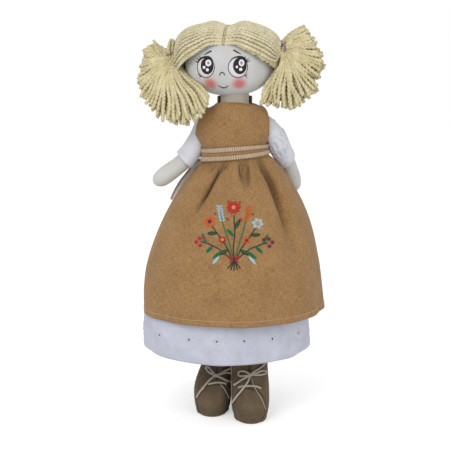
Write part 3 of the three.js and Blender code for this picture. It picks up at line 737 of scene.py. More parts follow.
def ribbed_tape():
    """A grosgrain tape: fine ribs across its width, with shade painted darker in the grooves."""
    finish, tree, shader = new_finish("ribbed_tape", 0.8, 0.2)
    ribs = mapped(tree, rib_wave(tree, 1.7), -1.0, 1.0)
    mixed = mean_of(tree, 0.3, ribs, noise(tree, 260.0, 3.0))
    # Painted shade: the colour mostly follows the ribs, dark in the grooves and light on the crests, with a
    # little random tone.
    colour_with(tree, shader, mixed, (112, 88, 70), (224, 200, 172))
    raise_with(tree, shader, mixed, 0.2, 0.7)
    return finish


tape_cloth = ribbed_tape()
waistband = belt(
    "waistband_linen", "waistband", waist_height + belt_rise, band_height + band_ease, band_outside,
    band_thickness, linen)
tape_outside = band_outside + gap + tape_thickness
for node, low in (
    ("upper_waist_tape", waist_height + belt_rise + band_height + band_ease - tape_height),
    ("lower_waist_tape", waist_height + belt_rise),
):
    belt(node + "_ribbed", node, low, tape_height, tape_outside, tape_thickness, tape_cloth, rows=4)

# Pinafore skirt: one wide length of linen gathered into the waist, which falls in soft folds to a turned hem.
# A fold has degrees from the front at its top and bottom, its half-width in degrees, its depth as a share of
# the skirt's width, and the shares of the way down where it starts and ends.
skirt_hem = 109
skirt_width = 190
skirt_depth = 140
skirt_shift = 0.6
skirt_sway = 1.2
skirt_dip = 1
gather_count = 47
gather_depth = 1.0
gather_drop = 15
soft_fold_count = 11
soft_fold_depth = 0.6
hip_bulge = 0.9
hem_trim = 1.8
hem_depth = 5.5
hem_fold = 0.5
hem_swing = 1.3
stitch_width = 0.32
fold_shares = np.array([
    [-9, -34, 8, 0.03, 0.02, 0.5],
    [12, 13, 5, 0.016, 0.01, 0.2],
    [41, 50, 8, 0.03, 0.01, 0.72],
    [-78, -82, 9, 0.018, 0.02, 0.7],
    [80, 82, 9, 0.02, 0.02, 0.7],
    [112, 114, 9, 0.02, 0.02, 0.7],
    [146, 147, 9, 0.02, 0.02, 0.7],
    [180, 180, 9, 0.02, 0.02, 0.7],
    [-146, -147, 9, 0.02, 0.02, 0.7],
    [-112, -114, 9, 0.02, 0.02, 0.7],
])


def fold_depth(turn, down):
    """How far the main folds press the skirt in."""
    total = np.zeros_like(turn)
    for top, bottom, spread, depth, first, last in fold_shares:
        share = np.clip((down - first) / (last - first), 0, 1)
        middle = top + (bottom - top) * share - 90
        off = np.mod(turn - middle + 180, 360) - 180
        total += depth * skirt_width * np.sin(np.pi * share ** 0.6) * np.exp(-(off / spread) ** 2)
    return total


def share_down(height, hem):
    """How far down a skirt a height lies, where its hem is 1."""
    edge = waist_height - gap
    return np.clip((edge - height) / (edge - hem), 0, 1)


def below_band(height):
    """How far below the waistband a height lies, where 1 is the length of the gathers."""
    return np.clip((waist_height + belt_rise - height) / gather_drop, 0, None)


def skirt_places(hem, round_share, up_share):
    """The turn, from the doll's back, and the height for shares of the way round and up a skirt."""
    top = seam_height - gap / 2
    return 90 + 360 * round_share, top + (hem - top) * (1 - up_share)


def skirt_surface(hem, width, depth, shift, dip, inside, fold_share, side_lifts):
    """A skirt's outer side as a function of a turn and a height. Its hem rises at the doll's sides."""
    edge = waist_height - gap

    def surface(turn, height):
        top = lifted(clothes_surface, turn, np.maximum(height, edge), inside)
        down = share_down(height, hem)
        flare = 1 - (1 - down ** 0.85) ** 2
        sideways, forward = cos_of(turn), sin_of(turn)
        pressed = fold_share * fold_depth(turn, down)
        sway = skirt_sway * (
            np.sin(np.pi * np.minimum(1, 2 * down)) - 1.4 * np.sin(np.pi * np.maximum(0, 2 * down - 1)))
        lifts = np.where(sideways > 0, *side_lifts)
        drop = down ** 3 * (dip * np.maximum(0, -forward) ** 2 - lifts * sideways ** 4)
        x = top[..., 0] * (1 - flare) + (shift + width / 2 * sideways) * flare + sway - pressed * sideways
        y = top[..., 1] * (1 - flare) + depth / 2 * forward * flare - pressed * forward
        z = height + (top[..., 2] - edge) * (1 - down) - drop
        below = np.stack((x, y, z), axis=-1)
        return np.where((height >= edge)[..., None], top, below)

    return surface


linen_skirt = skirt_surface(
    skirt_hem, skirt_width, skirt_depth, skirt_shift, skirt_dip, linen_outside, 1, (3.4, 0))


def ripple(turn, down, count, phase, drift):
    """A wave round the skirt, whose crests wander and differ in height."""
    angle = np.radians(turn)
    wander = 0.9 * np.sin(3 * angle + phase) + 0.6 * np.sin(7 * angle + 2.1 * phase + 2.5 * down)
    return np.cos(count * angle + wander + drift * down) * (
        0.72 + 0.28 * np.sin(5 * angle + 1.7 * phase + 2 * down))


def crease_strength(places, line, spread):
    """The strength at each place of a crease drawn in pixels of the photograph, on the front alone."""
    seen = pixels_of(in_frame(places))
    line = np.array(line, float)
    nearest = np.full(len(places), np.inf)
    fade = np.zeros(len(places))
    before = lengths_along(line)
    for i, (start, end) in enumerate(zip(line[:-1], line[1:])):
        length = before[i + 1] - before[i]
        share = np.clip(((seen - start) @ (end - start)) / length ** 2, 0, 1)
        off = np.linalg.norm(seen - start - share[:, None] * (end - start), axis=1)
        closer = off < nearest
        nearest = np.where(closer, off, nearest)
        fade = np.where(closer, (before[i] + share * length) / before[-1], fade)
    taper = np.sin(np.pi * np.clip(0.1 + 0.9 * fade, 0, 1) ** 0.7) ** 0.7
    return np.exp(-(nearest / spread) ** 2) * taper * (np.asarray(places)[:, 1] < 0)


# A crease has its depth in millimetres, its half-width in pixels, and its line.
left_valley = [(225.5, 160.5), (221.5, 167), (215.8, 176.8), (211, 185.7), (206.2, 194.6), (200.6, 203.6),
               (193.5, 212.5), (186, 222), (181, 231)]
right_valley = [(258, 159), (262, 166), (267, 174.5), (271.8, 184), (275.8, 194.6), (280.6, 208),
                (284.8, 221.4), (289.4, 234.8), (293.6, 246.4), (297, 256)]
skirt_creases = [
    (7, 2.3, left_valley[:7]), (3.2, 5.5, left_valley),
    (6.2, 2.2, right_valley[:8]), (2.4, 5, right_valley),
    (4.4, 1.3, [(229, 161), (225.5, 168), (221.5, 174)]),
    (3.4, 1.6, [(215.6, 164.5), (208, 173)]),
    (5, 1.4, [(241.2, 159.5), (239, 167), (240.2, 175), (244, 184)]),
    (5, 1.4, [(245.2, 159.5), (247.4, 167), (248.4, 176), (249, 186)]),
    (4.4, 4, [(243.4, 162), (244, 172), (246, 184), (249, 192)]),
    (4, 1.2, [(261, 158.5), (264.5, 164)]),
]
crease_ridge = 0.3
deepest_crease = 9
body_room = 3.6


def pressed_in(turn, height, base):
    """How far the creases lie under the skirt's smooth side, which the body within leaves room for."""
    body = clothes_surface(turn, np.maximum(height, hip_height))
    room = np.linalg.norm(base[:, :2], axis=1) - np.linalg.norm(body[:, :2], axis=1) - body_room
    room = np.maximum(room, 0.05)
    pressed = np.zeros(len(height))
    for depth, spread, line in skirt_creases:
        near = crease_strength(base, line, spread)
        ridge = crease_strength(base, line, spread * 2.6)
        pressed = np.maximum(pressed, 0) + depth * near - crease_ridge * depth * ridge * (1 - near)
    pressed *= 1 - np.exp(-4 * below_band(height))
    return np.where(pressed > 0, room * np.tanh(pressed / room), pressed)


def linen_out(turn, height):
    """How far the linen skirt stands off its smooth side, with its gathers, soft folds and creases."""
    down = share_down(height, skirt_hem)
    fallen = below_band(height)
    gathers = gather_depth * np.exp(-fallen ** 1.3) * np.clip(fallen * 4, 0, 1) * ripple(
        turn, down, gather_count, 1.0, 0.5)
    folds = soft_fold_depth * np.sin(np.pi * np.clip(down * 1.1, 0, 1)) ** 0.8 * ripple(
        turn, down, soft_fold_count, 2.0, 1.4)
    hem_wave = hem_swing * np.clip((down - 0.45) / 0.55, 0, 1) ** 1.5 * ripple(turn, down, 9, 0.3, 0.2)
    turned = hem_fold * np.clip((skirt_hem + hem_depth - height) / hem_fold, 0, 1)
    beside = hip_bulge * np.exp(-((turn - 182) / 42) ** 2) * np.sin(np.pi * np.clip(down / 0.75, 0, 1)) ** 0.8
    beside -= hem_trim * np.exp(-((turn - 360) / 42) ** 2) * eased_step(down, 0.4, 1)
    return gathers + folds + hem_wave + turned + beside - pressed_in(turn, height, linen_skirt(turn, height))


def gathered_linen(round_share, up_share):
    """The linen skirt's outer side as a function of shares."""
    turn, height = skirt_places(skirt_hem, round_share, up_share)
    return lifted(linen_skirt, turn, height, linen_out(turn, height))


def painted_crease_shade_depths(round_share, up_share):
    """How deep a place lies in a crease, where 1 is deepest, for the shade painted into the creases."""
    turn, height = skirt_places(skirt_hem, round_share, up_share)
    base = linen_skirt(turn, height)
    deep = sum(depth * crease_strength(base, line, spread) for depth, spread, line in skirt_creases)
    return np.clip((1 - np.exp(-6 * below_band(height))) * deep / deepest_crease, 0, 1)


skirt_mesh = wrapped(gathered_linen, 420, 110, (420, 160), folds=painted_crease_shade_depths)
linen_skirt_tree = BVHTree.FromBMesh(skirt_mesh)
pinafore_skirt = make_piece(
    "pinafore_skirt_linen", skirt_mesh, linen, "torso", "pinafore_skirt")
thicken(pinafore_skirt, linen_thickness)


def stitch_line(surface, height_share, stitch, spacing):
    """Running stitches along a level of a wrapped surface, each a short thread that dips at its ends."""
    shares = np.linspace(0, 1, 901)
    places = surface(shares, np.full_like(shares, height_share))
    outward = places - places.mean(axis=0)
    outward[:, 2] = 0
    outward /= np.linalg.norm(outward, axis=1)[:, None]
    line = in_frame(places)
    lengths = lengths_along(line) / mm
    runs = []
    for start in np.arange(0, lengths[-1] - stitch, spacing):
        run = []
        for step, rise in ((0, -0.1), (0.2, 0.12), (0.5, 0.2), (0.8, 0.12), (1, -0.1)):
            reached = start + step * stitch
            away = along_line(reached, lengths, outward)
            run.append((along_line(reached, lengths, line) + rise * mm * away, 1, 0))
        runs.append(run)
    return thread_mesh(runs, stitch_width, sides=1)


def cotton_thread(name, colour):
    """A glossy twisted sewing thread."""
    finish, tree, shader = new_finish(name, 0.55, 0.3)
    shades = noise(tree, 900.0)
    colour_with(tree, shader, shades, [0.8 * channel for channel in colour], colour)
    raise_with(tree, shader, shades, 0.06)
    return finish


pale_thread = cotton_thread("pale_thread", (206, 172, 140))
hem_share = hem_depth / (seam_height - gap / 2 - skirt_hem)
make_piece(
    "pinafore_hem_stitches", stitch_line(gathered_linen, hem_share, 2.6, 3.2), pale_thread, "torso")

# Underdress skirt: white cotton, longer than the linen, with eyelets and scalloped stitching above its hem.
petticoat_hem = 69
petticoat_width = 174
petticoat_depth = 122
petticoat_shift = -6.8
petticoat_dip = 3
eyelet_height = 91
cover_step = 1
cover_spread = 6
eyelet_radius = 1.25
eyelet_ring = 0.42
ring_radius = 1.5
scallop_radius = 9.5
eyelet_count = 14
petal_count = 7
petticoat_surface = skirt_surface(
    petticoat_hem, petticoat_width, petticoat_depth, petticoat_shift, petticoat_dip,
    2 * gap + cotton_thickness, 0.6, (2.6, 2.6))


def under_linen(places, turn, height):
    """The turn at which places lie straight under the linen's smooth side, and how far off it they are."""
    over = turn.copy()
    for _ in range(6):
        base = linen_skirt(over, height)
        ahead = linen_skirt(over + 0.5, height) - base
        over += 0.5 * ((places - base) * ahead).sum(axis=1) / (ahead ** 2).sum(axis=1)
    base = linen_skirt(over, height)
    outward = lifted(linen_skirt, over, height, 1) - base
    return over, ((places - base) * outward).sum(axis=1)


def waved_cotton(turn, height, inside=0):
    """The petticoat with soft waves at its hem, or a place a given distance inside it."""
    down = share_down(height, petticoat_hem)
    waves = 1.2 * np.clip((down - 0.5) / 0.5, 0, 1) ** 1.4 * ripple(turn, down, 8, 1.4, 0.3)
    return lifted(petticoat_surface, turn, height, waves - inside)


def hanging_cotton(round_share, up_share):
    """The petticoat's outer side, which lies no farther out than the inside of the linen over it."""
    turn, height = skirt_places(petticoat_hem, round_share, up_share)
    own = waved_cotton(turn, height)
    covered = np.maximum(height, skirt_hem)
    over, out = under_linen(own, turn, covered)
    asides = range(-cover_spread, cover_spread + 1)
    least = np.min([linen_out(over + aside, covered) for aside in asides], axis=0)
    most = least - linen_thickness - cover_step
    under = lifted(linen_skirt, over, covered, most)
    return np.where(((out > most) & (height > skirt_hem))[:, None], under, own)


def eyelet_cutters():
    """Rods that cut every eyelet, pointing out of the skirt all round it."""
    rods = bmesh.new()
    for place, away in eyelets:
        made = bmesh.ops.create_cone(
            rods, cap_ends=True, segments=16, radius1=eyelet_radius * mm, radius2=eyelet_radius * mm,
            depth=scallop_radius * mm)
        facing = Vector(away).to_track_quat("Z", "Y").to_matrix()
        bmesh.ops.rotate(rods, verts=made["verts"], matrix=facing)
        bmesh.ops.translate(rods, verts=made["verts"], vec=place)
    return rods


cotton_mesh = wrapped(hanging_cotton, 320, 100, (420, 200))
cotton_tree = BVHTree.FromBMesh(cotton_mesh)
eyelets = []
for turn in np.arange(eyelet_count) * 360 / eyelet_count - 99.5:
    sight = Vector((math.cos(math.radians(turn)), math.sin(math.radians(turn)), 0))
    middle = Vector(in_frame((petticoat_shift, 0, eyelet_height)))
    place, away = first_hit(cotton_tree, middle + 0.2 * sight, -sight)
    eyelets.append((place, away if away.dot(sight) > 0 else -away))
underdress_skirt = make_piece(
    "underdress_skirt_cotton", carved(cotton_mesh, cotton_thickness, [eyelet_cutters()]),
    white_cotton, "torso", "underdress_skirt")
lining_step = 2.2
lining_thickness = 0.4
lining_low = 72
lining_high = 112


def lining_surface(round_share, up_share):
    """A band of cotton hanging just inside the petticoat, behind its eyelets."""
    height = lining_low + (lining_high - lining_low) * up_share
    return waved_cotton(90 + 360 * round_share, height, lining_step)


lining = make_piece(
    "petticoat_lining", wrapped(lining_surface, 180, 16, (420, 40)), white_cotton, "torso")
thicken(lining, lining_thickness)


def on_cotton(place, away, reach, angle):
    """The place on the petticoat at a reach in millimetres from another, in the direction of an angle."""
    level = Vector((-away.y, away.x, 0)).normalized()
    aside, up = reach * math.cos(angle), reach * math.sin(angle)
    start = place + level * aside * mm + Vector((0, 0, up * mm)) + away * 0.02
    hit, _ = first_hit(cotton_tree, start, -away)
    return hit if hit is not None else place


rings, raised = [], []
for place, away in eyelets:
    angles = np.arange(20) * math.pi / 10
    rings.append(plain_run([on_cotton(place, away, ring_radius, angle) for angle in angles]))
    for petal in range(petal_count):
        spoke = 2 * math.pi * (petal + 0.5) / petal_count
        raised.append([
            (on_cotton(place, away, reach, spoke), size, 0)
            for reach, size in ((2.4, 0.6), (3.1, 1.5), (3.8, 1.9), (4.5, 0.5))
        ])
    fan = np.radians(np.linspace(-168, -12, 23))
    raised.append([(on_cotton(place, away, scallop_radius, angle), 0.9, 0) for angle in fan])
white_thread = cotton_thread("white_thread", (228, 229, 236))
make_piece(
    "eyelet_rings", thread_mesh(rings, eyelet_ring, closed=True), white_thread, "torso")
make_piece(
    "scallop_stitching", thread_mesh(raised, 0.42), white_thread, "torso")
make_piece(
    "petticoat_hem_stitches", stitch_line(hanging_cotton, 0.022, 2.2, 3.0), white_thread,
    "torso")


# Head: a round stuffed cotton head, turned a little to the doll's right, with its face printed on the cloth.
head_width = 89
head_depth = 70
head_drop = 30.5
head_rise = 38.5
head_shift = -4.3
head_height = 362
head_turn = 11
head_section = 2.1
chin_squareness = 2.15
crown_squareness = 2.4
blush_core = 2
blush_edge = 10.2
cheek_pixels = ((210.5, 83.9), (239.3, 83.8))


def head_surface(turn, latitude):
    """The head's skin about its own middle, before it is turned on the neck."""
    squareness = np.where(latitude > 0, crown_squareness, chin_squareness)
    level, spread = along(latitude, squareness), across(latitude, squareness)
    return np.stack((
        head_width / 2 * spread * across(turn, head_section),
        head_depth / 2 * spread * along(turn, head_section),
        level * np.where(latitude > 0, head_rise, head_drop),
    ), axis=-1)


def on_neck(places):
    """Places about the head's own middle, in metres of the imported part."""
    places = np.asarray(places)
    cosine, sine = cos_of(head_turn), sin_of(head_turn)
    turned = np.stack((
        places[..., 0] * cosine + places[..., 1] * sine + head_shift,
        -places[..., 0] * sine + places[..., 1] * cosine,
        places[..., 2] + head_height,
    ), axis=-1)
    return in_frame(turned)


def round_head(round_share, up_share):
    return head_surface(90 + 360 * round_share, 180 * np.clip(up_share, 0, 1) - 90)


head_mesh = wrapped(round_head, 160, 96, (250, 110), placed=on_neck)
head_tree = BVHTree.FromBMesh(head_mesh)


def on_face(x, y, out=0.0):
    """The place on the head that the camera sees at a pixel, a little out from the cloth."""
    place, away = first_hit(head_tree, camera.location, line_of_sight(x, y))
    return place + away * out * mm


face_cloth = woven("face_cloth", (201, 201, 199), (215, 216, 216), 3400, 0.05, sheen=0.15, mottle=0.6)
tree = face_cloth.node_tree
shader = tree.nodes["Principled BSDF"]
skin_colour = shader.inputs["Base Color"].links[0].from_socket
solid = add_node(tree, "ShaderNodeTexCoord")
for x, y in cheek_pixels:
    away = add_node(tree, "ShaderNodeVectorMath", {
        0: solid.outputs["Object"], 1: on_face(x, y)}, operation="DISTANCE")
    strength = mapped(
        tree, away.outputs["Value"], blush_core * mm, blush_edge * mm, 0.88, 0.0,
        interpolation_type="SMOOTHSTEP")
    skin_colour = mix_colours(tree, strength, skin_colour, from_srgb(206, 104, 98))
tree.links.new(skin_colour, shader.inputs["Base Color"])
head = make_piece("stuffed_head", head_mesh, face_cloth, "head", "head")

# Printed face: flat shapes of ink on the head's cloth, each a hair's breadth above the last.
ink_depth = 0.12
stroke_steps = 14


def ink(name, colour):
    """Fabric ink, a little uneven where the cloth's threads show through it."""
    finish, tree, shader = new_finish(name, 0.8)
    colour_with(tree, shader, noise(tree, 1400.0), colour, [min(255, channel + 16) for channel in colour])
    return finish


def joined(meshes):
    """Several bmeshes as one."""
    whole = bmesh.new()
    for mesh in meshes:
        data = bpy.data.meshes.new("part")
        mesh.to_mesh(data)
        mesh.free()
        whole.from_mesh(data)
        bpy.data.meshes.remove(data)
    return whole


def print_on_face(xs, ys, layer):
    return np.array([on_face(x, y, layer * ink_depth) for x, y in zip(xs, ys)])


def inked_oval(middle, half_sizes, layer, hollow=0.0):
    """An oval of ink on the face, or a ring where it has a hollow share."""
    def seen(round_share, out_share):
        angle = 2 * np.pi * round_share
        reach = hollow + (1 - hollow) * (1 - out_share)
        xs = middle[0] + reach * half_sizes[0] * np.cos(angle)
        ys = middle[1] + reach * half_sizes[1] * np.sin(angle)
        return print_on_face(xs, ys, layer)
    return wrapped(seen, 40, 5, placed=np.asarray)


def inked_stroke(points, widths, layer):
    """A stroke of ink through pixels of the face, whose width changes along it."""
    line = through(np.array(points, float), stroke_steps + 1)
    marks = np.linspace(0, 1, stroke_steps + 1)

    def seen(along_share, across_share):
        places, before, after = (
            along_line(np.clip(along_share + step, 0, 1), marks, line) for step in (0, -0.02, 0.02))
        ahead = after - before
        square = np.stack((ahead[:, 1], -ahead[:, 0]), -1) / np.linalg.norm(ahead, axis=1)[:, None]
        half = np.interp(along_share, np.linspace(0, 1, len(points)), widths) / 2
        return print_on_face(*(places + square * (half * (2 * across_share - 1))[:, None]).T, layer)
    return wrapped(seen, stroke_steps, 2, closed=False, placed=np.asarray)


def through(points, count):
    """Evenly spaced places on a smooth curve through points."""
    chords = np.maximum(1e-9, np.linalg.norm(np.diff(points, axis=0), axis=1)) ** 0.5
    knots = np.concatenate(([0], np.cumsum(chords)))
    table = np.column_stack((knots, points))
    fine = np.linspace(0, knots[-1], 24 * len(points))
    curve = np.stack([smooth(table, 1 + k, fine) for k in range(points.shape[1])], axis=-1)
    lengths = lengths_along(curve)
    return along_line(np.linspace(0, lengths[-1], count), lengths, curve)


# A lash has its width at the eye, and its line.
lashes = (
    (1.3, (198.2, 62.6), (196.4, 61.6), (194.7, 61.2)),
    (1.3, (199.3, 60.4), (197.9, 59.2), (196.4, 58.6)),
    (1.2, (200.8, 58.9), (199.7, 57.2), (198.8, 56.2)),
    (1.3, (246.4, 60.4), (248.1, 59), (249.4, 58.2)),
    (1.3, (247, 62.2), (248.8, 61), (250.4, 60.6)),
    (1.2, (244.9, 58.4), (245.4, 57.2), (245.2, 56.2)),
    (1.1, (200.6, 75.8), (199, 75), (197.8, 73.8)),
    (1.1, (201, 76.2), (200, 77.4), (199.2, 78.4)),
    (1.1, (245, 75.6), (246.8, 74.8), (248, 74)),
    (1.1, (245.2, 76), (246.6, 77), (247.6, 77.8)),
)
face_prints = {
    "eye_whites": ((214, 208, 211), [
        inked_oval((205.9, 67.2), (8.5, 10.4), 1), inked_oval((237.9, 67.3), (9.6, 10.4), 1),
    ]),
    "eye_outlines": ((74, 72, 80), [
        inked_oval((205.9, 67.2), (8.8, 10.7), 2, hollow=0.93),
        inked_oval((237.9, 67.3), (9.9, 10.7), 2, hollow=0.935),
    ]),
    "pupils": ((36, 29, 32), [
        inked_oval((207.3, 65.9), (6.3, 8.3), 3), inked_oval((239.8, 65.8), (6.7, 8.2), 3),
        inked_stroke([(197.6, 63), (200, 59.4), (204.5, 57.2), (209.5, 57.6), (213, 60.8)],
                     (0.8, 1.7, 1.9, 2.4, 0.7), 3),
        inked_stroke([(229.4, 62.5), (232.4, 58.8), (237, 57), (243, 57.6), (247, 61.8)],
                     (0.6, 1.1, 1.7, 2.3, 1.2), 3),
    ]),
    "glints": ((226, 222, 228), [
        inked_oval((208.5, 63.0), (3.0, 3.4), 4), inked_oval((204.3, 67.3), (1.4, 1.5), 4),
        inked_oval((207.6, 69.8), (1.5, 1.6), 4), inked_oval((241.5, 62.9), (2.8, 3.5), 4),
        inked_oval((236.9, 66.9), (1.2, 1.3), 4), inked_oval((240.7, 69.4), (1.7, 1.6), 4),
    ]),
    "glint_centres": ((138, 128, 150), [
        inked_oval((208.6, 63.0), (1.2, 1.4), 5), inked_oval((241.4, 62.9), (1.2, 1.8), 5),
    ]),
    "face_lines": ((62, 60, 62), [
        inked_stroke([(204.2, 55), (207.6, 52.9), (211.6, 50.9)], (0.6, 1.5, 1.7), 1),
        inked_stroke([(233.4, 49.9), (236.8, 52), (240.9, 54)], (1.6, 1.6, 0.7), 1),
        inked_stroke([(219.7, 75.8), (220.2, 73.6), (221.9, 72.3), (223.9, 73.4), (224.9, 75.4)],
                     (0.7, 1.1, 1.2, 1.1, 0.7), 1),
        inked_stroke([(218.2, 85.2), (220.7, 86.9), (223.3, 87.8), (226, 87.3), (228.6, 85.6)],
                     (0.5, 1.0, 1.2, 1.0, 0.5), 1),
    ] + [inked_stroke(line, (root, root - 0.4, 0.3), 1) for root, *line in lashes]),
}
for name, (colour, shapes) in face_prints.items():
    printed = make_piece(name, joined(shapes), ink(name + "_ink", colour), "head")
    thicken(printed, ink_depth / 2)

# Hair: soft yarn of three plies, laid from the parting round the head to an elastic at each side.
hair_puff = 8
hair_sides = {"left": 3.5, "right": 6.8}
hair_corner = 2
hair_flat = 1.7
hairline_top = 19.5
nape_drop = 16
gathers_beside = {"left": (53.9, -6, 17), "right": (-53.9, -6, 10)}
tie_width = 1.8
yarn_radius = 1.9
yarn_pitch = 8.4
yarn_step = 1.3
laid_strands = 34
hair_sags = {1: 36, -1: 47}
sides = {"left": 1, "right": -1}


def hair_depth(turn, latitude):
    """How far each side's soft dome of yarn rises off the head."""
    place = head_surface(turn, latitude)
    height = place[..., 2]
    share = place[..., 0] / (head_width / 2)
    out = np.abs(share)
    puff = hair_puff * eased_step(out, 0, 0.4) * (0.6 + 0.14 * eased_step(height / head_rise, 0.1, 0.75))
    full = np.where(share > 0, hair_sides["left"], hair_sides["right"]) * eased_step(out, 0.45, 0.95)
    corner = hair_corner * np.exp(-((out - 0.92) / 0.16) ** 2) * eased_step(height, 6, 20)
    return hair_flat + puff + full * eased_step(height, -14, 2) + corner


def hair_form(sink):
    """The hair's outer side, or one a given depth within it, about the head's own middle."""
    def surface(round_share, up_share):
        turn, latitude = 90 + 360 * round_share, 178 * up_share - 89
        return lifted(head_surface, turn, latitude, hair_depth(turn, latitude) - sink)
    return surface


def about_head(places):
    """Places about the head's own middle, in metres."""
    return np.asarray(places) * mm


yarn_rng = np.random.default_rng(11)
hair_tree = BVHTree.FromBMesh(wrapped(hair_form(0), 96, 64, placed=about_head))


def on_hair(direction, sink):
    """The place under the hair's outer side in a direction from the head's own middle."""
    hit, _ = first_hit(hair_tree, (0, 0, 0), direction)
    towards = np.array(hit) / mm
    return towards * (1 - sink / np.linalg.norm(towards))


def yarn_finish(name, dark, light):
    """Soft cream yarn: fibres of several shades, a faint fuzz and darker hollows between its plies."""
    finish, tree, shader = new_finish(name, 0.95, 0.35)
    fibres = noise(tree, 1500.0, 4.0, Roughness=0.7)
    mixed = mean_of(tree, 0.5, fibres, noise(tree, 130.0))
    colour_with(tree, shader, mapped(tree, mixed, 0.36, 0.64), dark, light)
    raise_with(tree, shader, fibres, 0.35, 0.8)
    return finish


yarn = yarn_finish("cream_yarn", (206, 195, 154), (234, 226, 196))


def ply_profile(radius, points):
    """The outline of a yarn of two plies cut across."""
    outline = bpy.data.curves.new("plies", "CURVE")
    outline.dimensions = "2D"
    ring = outline.splines.new("POLY")
    ring.points.add(points - 1)
    ring.use_cyclic_u = True
    for i, point in enumerate(ring.points):
        angle = 2 * math.pi * i / points
        reach = radius * mm * (0.7 + 0.3 * abs(math.cos(angle)))
        point.co = (reach * math.cos(angle), reach * math.sin(angle), 0, 1)
    shape = bpy.data.objects.new("plies", outline)
    scene.collection.objects.link(shape)
    return shape


def twisted_run(places, sizes, pitch, start=0.0):
    """A run through places in metres, twisting once in each pitch of its length."""
    return [
        (place, size, start + 2 * math.pi * reached / (pitch * mm))
        for place, size, reached in zip(places, sizes, lengths_along(places))
    ]


def on_parting(tilt):
    """The place on the head's middle line at a tilt in degrees, from the face over the top to the nape."""
    front = tilt < 90
    return head_surface(np.array(-90.0 if front else 90.0), np.array(tilt if front else 180 - tilt))


def laid_strand(side, gather, share):
    """One strand from the parting to the tie, where a share of 0 is at the forehead and 1 at the nape."""
    start = on_parting(27 + 181 * share)
    sag = hair_sags[side] * math.exp(-share * 3.4)
    first = start + np.array((side * 1.3, 0, 0))
    second = start * np.array((0, 1.05, 1)) + np.array((side * 19, 0, 2))
    third = np.array((side * 46, 0.5 * start[1] + 0.5 * gather[1], start[2] - sag + 2))
    ends = np.array(gather, float)
    arrival = third - ends
    arrival[0] = 0
    arrival /= max(1.0, np.linalg.norm(arrival))
    t = np.linspace(0, 1, 60)[:, None]
    drawn = ((1 - t) ** 3 * first + 3 * t * (1 - t) ** 2 * second + 3 * t * t * (1 - t) * third
             + t ** 3 * (ends + 4.6 * arrival))
    sink = yarn_radius * (0.9 + 0.25 * yarn_rng.random())
    laid = np.array([on_hair(place, sink) for place in drawn])
    leave = eased_step(t, 0.86, 1)
    laid = laid * (1 - leave) + drawn * leave
    laid = through(laid, max(20, int(1.1 * lengths_along(laid)[-1] / yarn_step)))
    beside = np.clip(np.abs(laid[:, 0]) / 55, 0, 1)
    sizes = 0.5 + 0.5 * np.sqrt(1 - beside ** 2)
    sizes *= 1 + 0.06 * np.sin(np.linspace(0, 20, len(laid)) + 9 * share)
    return twisted_run(on_neck(laid), sizes, yarn_pitch, 6 * yarn_rng.random())


plies = ply_profile(yarn_radius, 12)
for name, side in sides.items():
    gather = gathers_beside[name]
    runs = [laid_strand(side, gather, (i + 0.5) / laid_strands) for i in range(laid_strands)]
    strands = thread_mesh(runs, yarn_radius, plies)
    make_piece(name + "_laid_yarn", strands, yarn, "head", name + "_hair_panel")


# Yarn backing: the under layer of the laid yarn, which closes the gaps between the strands.
backing_sink = 2.6
backing_thickness = 0.8
# The backing's yarn is a darker copy of the cream yarn: painted shade in the gaps between the strands.
yarn_in_painted_shade = yarn_finish("yarn_in_painted_shade", (186, 172, 126), (208, 196, 152))


def split(mesh, place, normal, clear=True):
    """Cuts a mesh along a plane, and clears what lies behind it."""
    bmesh.ops.bisect_plane(
        mesh, geom=[*mesh.verts, *mesh.edges, *mesh.faces], dist=mm / 1000,
        plane_co=Vector(place), plane_no=Vector(normal), clear_inner=clear)


for name, side in sides.items():
    under = wrapped(hair_form(backing_sink), 120, 80, placed=on_neck)
    split(under, on_neck((side * 0.9, 0, 0)), on_neck((side * 2, 0, 0)) - on_neck((side, 0, 0)))
    bare = []
    cosine, sine = cos_of(head_turn), sin_of(head_turn)
    for vert in under.verts:
        x, y, z = np.array(vert.co) / mm - np.array((centring + head_shift, 0, head_height))
        own_x, own_y = x * cosine - y * sine, x * sine + y * cosine
        hairline = hairline_top + 1.5 - 21.5 * abs(own_x / (head_width / 2)) ** 1.6
        if z < (hairline if own_y < 2 else -nape_drop):
            bare.append(vert)
    bmesh.ops.delete(under, geom=bare, context="VERTS")
    backing = make_piece(name + "_yarn_backing", under, yarn_in_painted_shade, "head")
    thicken(backing, backing_thickness)

# Parting: the strip of cream tape on which the yarn is laid out and stitched down.
parting_height = 1.025
parting_run = [on_parting(tilt) * parting_height for tilt in np.linspace(26, 207, 40)]
parting_line = on_neck(through(np.array(parting_run), 60))
# The stitching is in the darker copy of the yarn: painted shade along the parting's groove.
make_piece(
    "parting_stitching", thread_mesh([plain_run(parting_line)], 0.8), yarn_in_painted_shade, "head",
    "parting_seam")

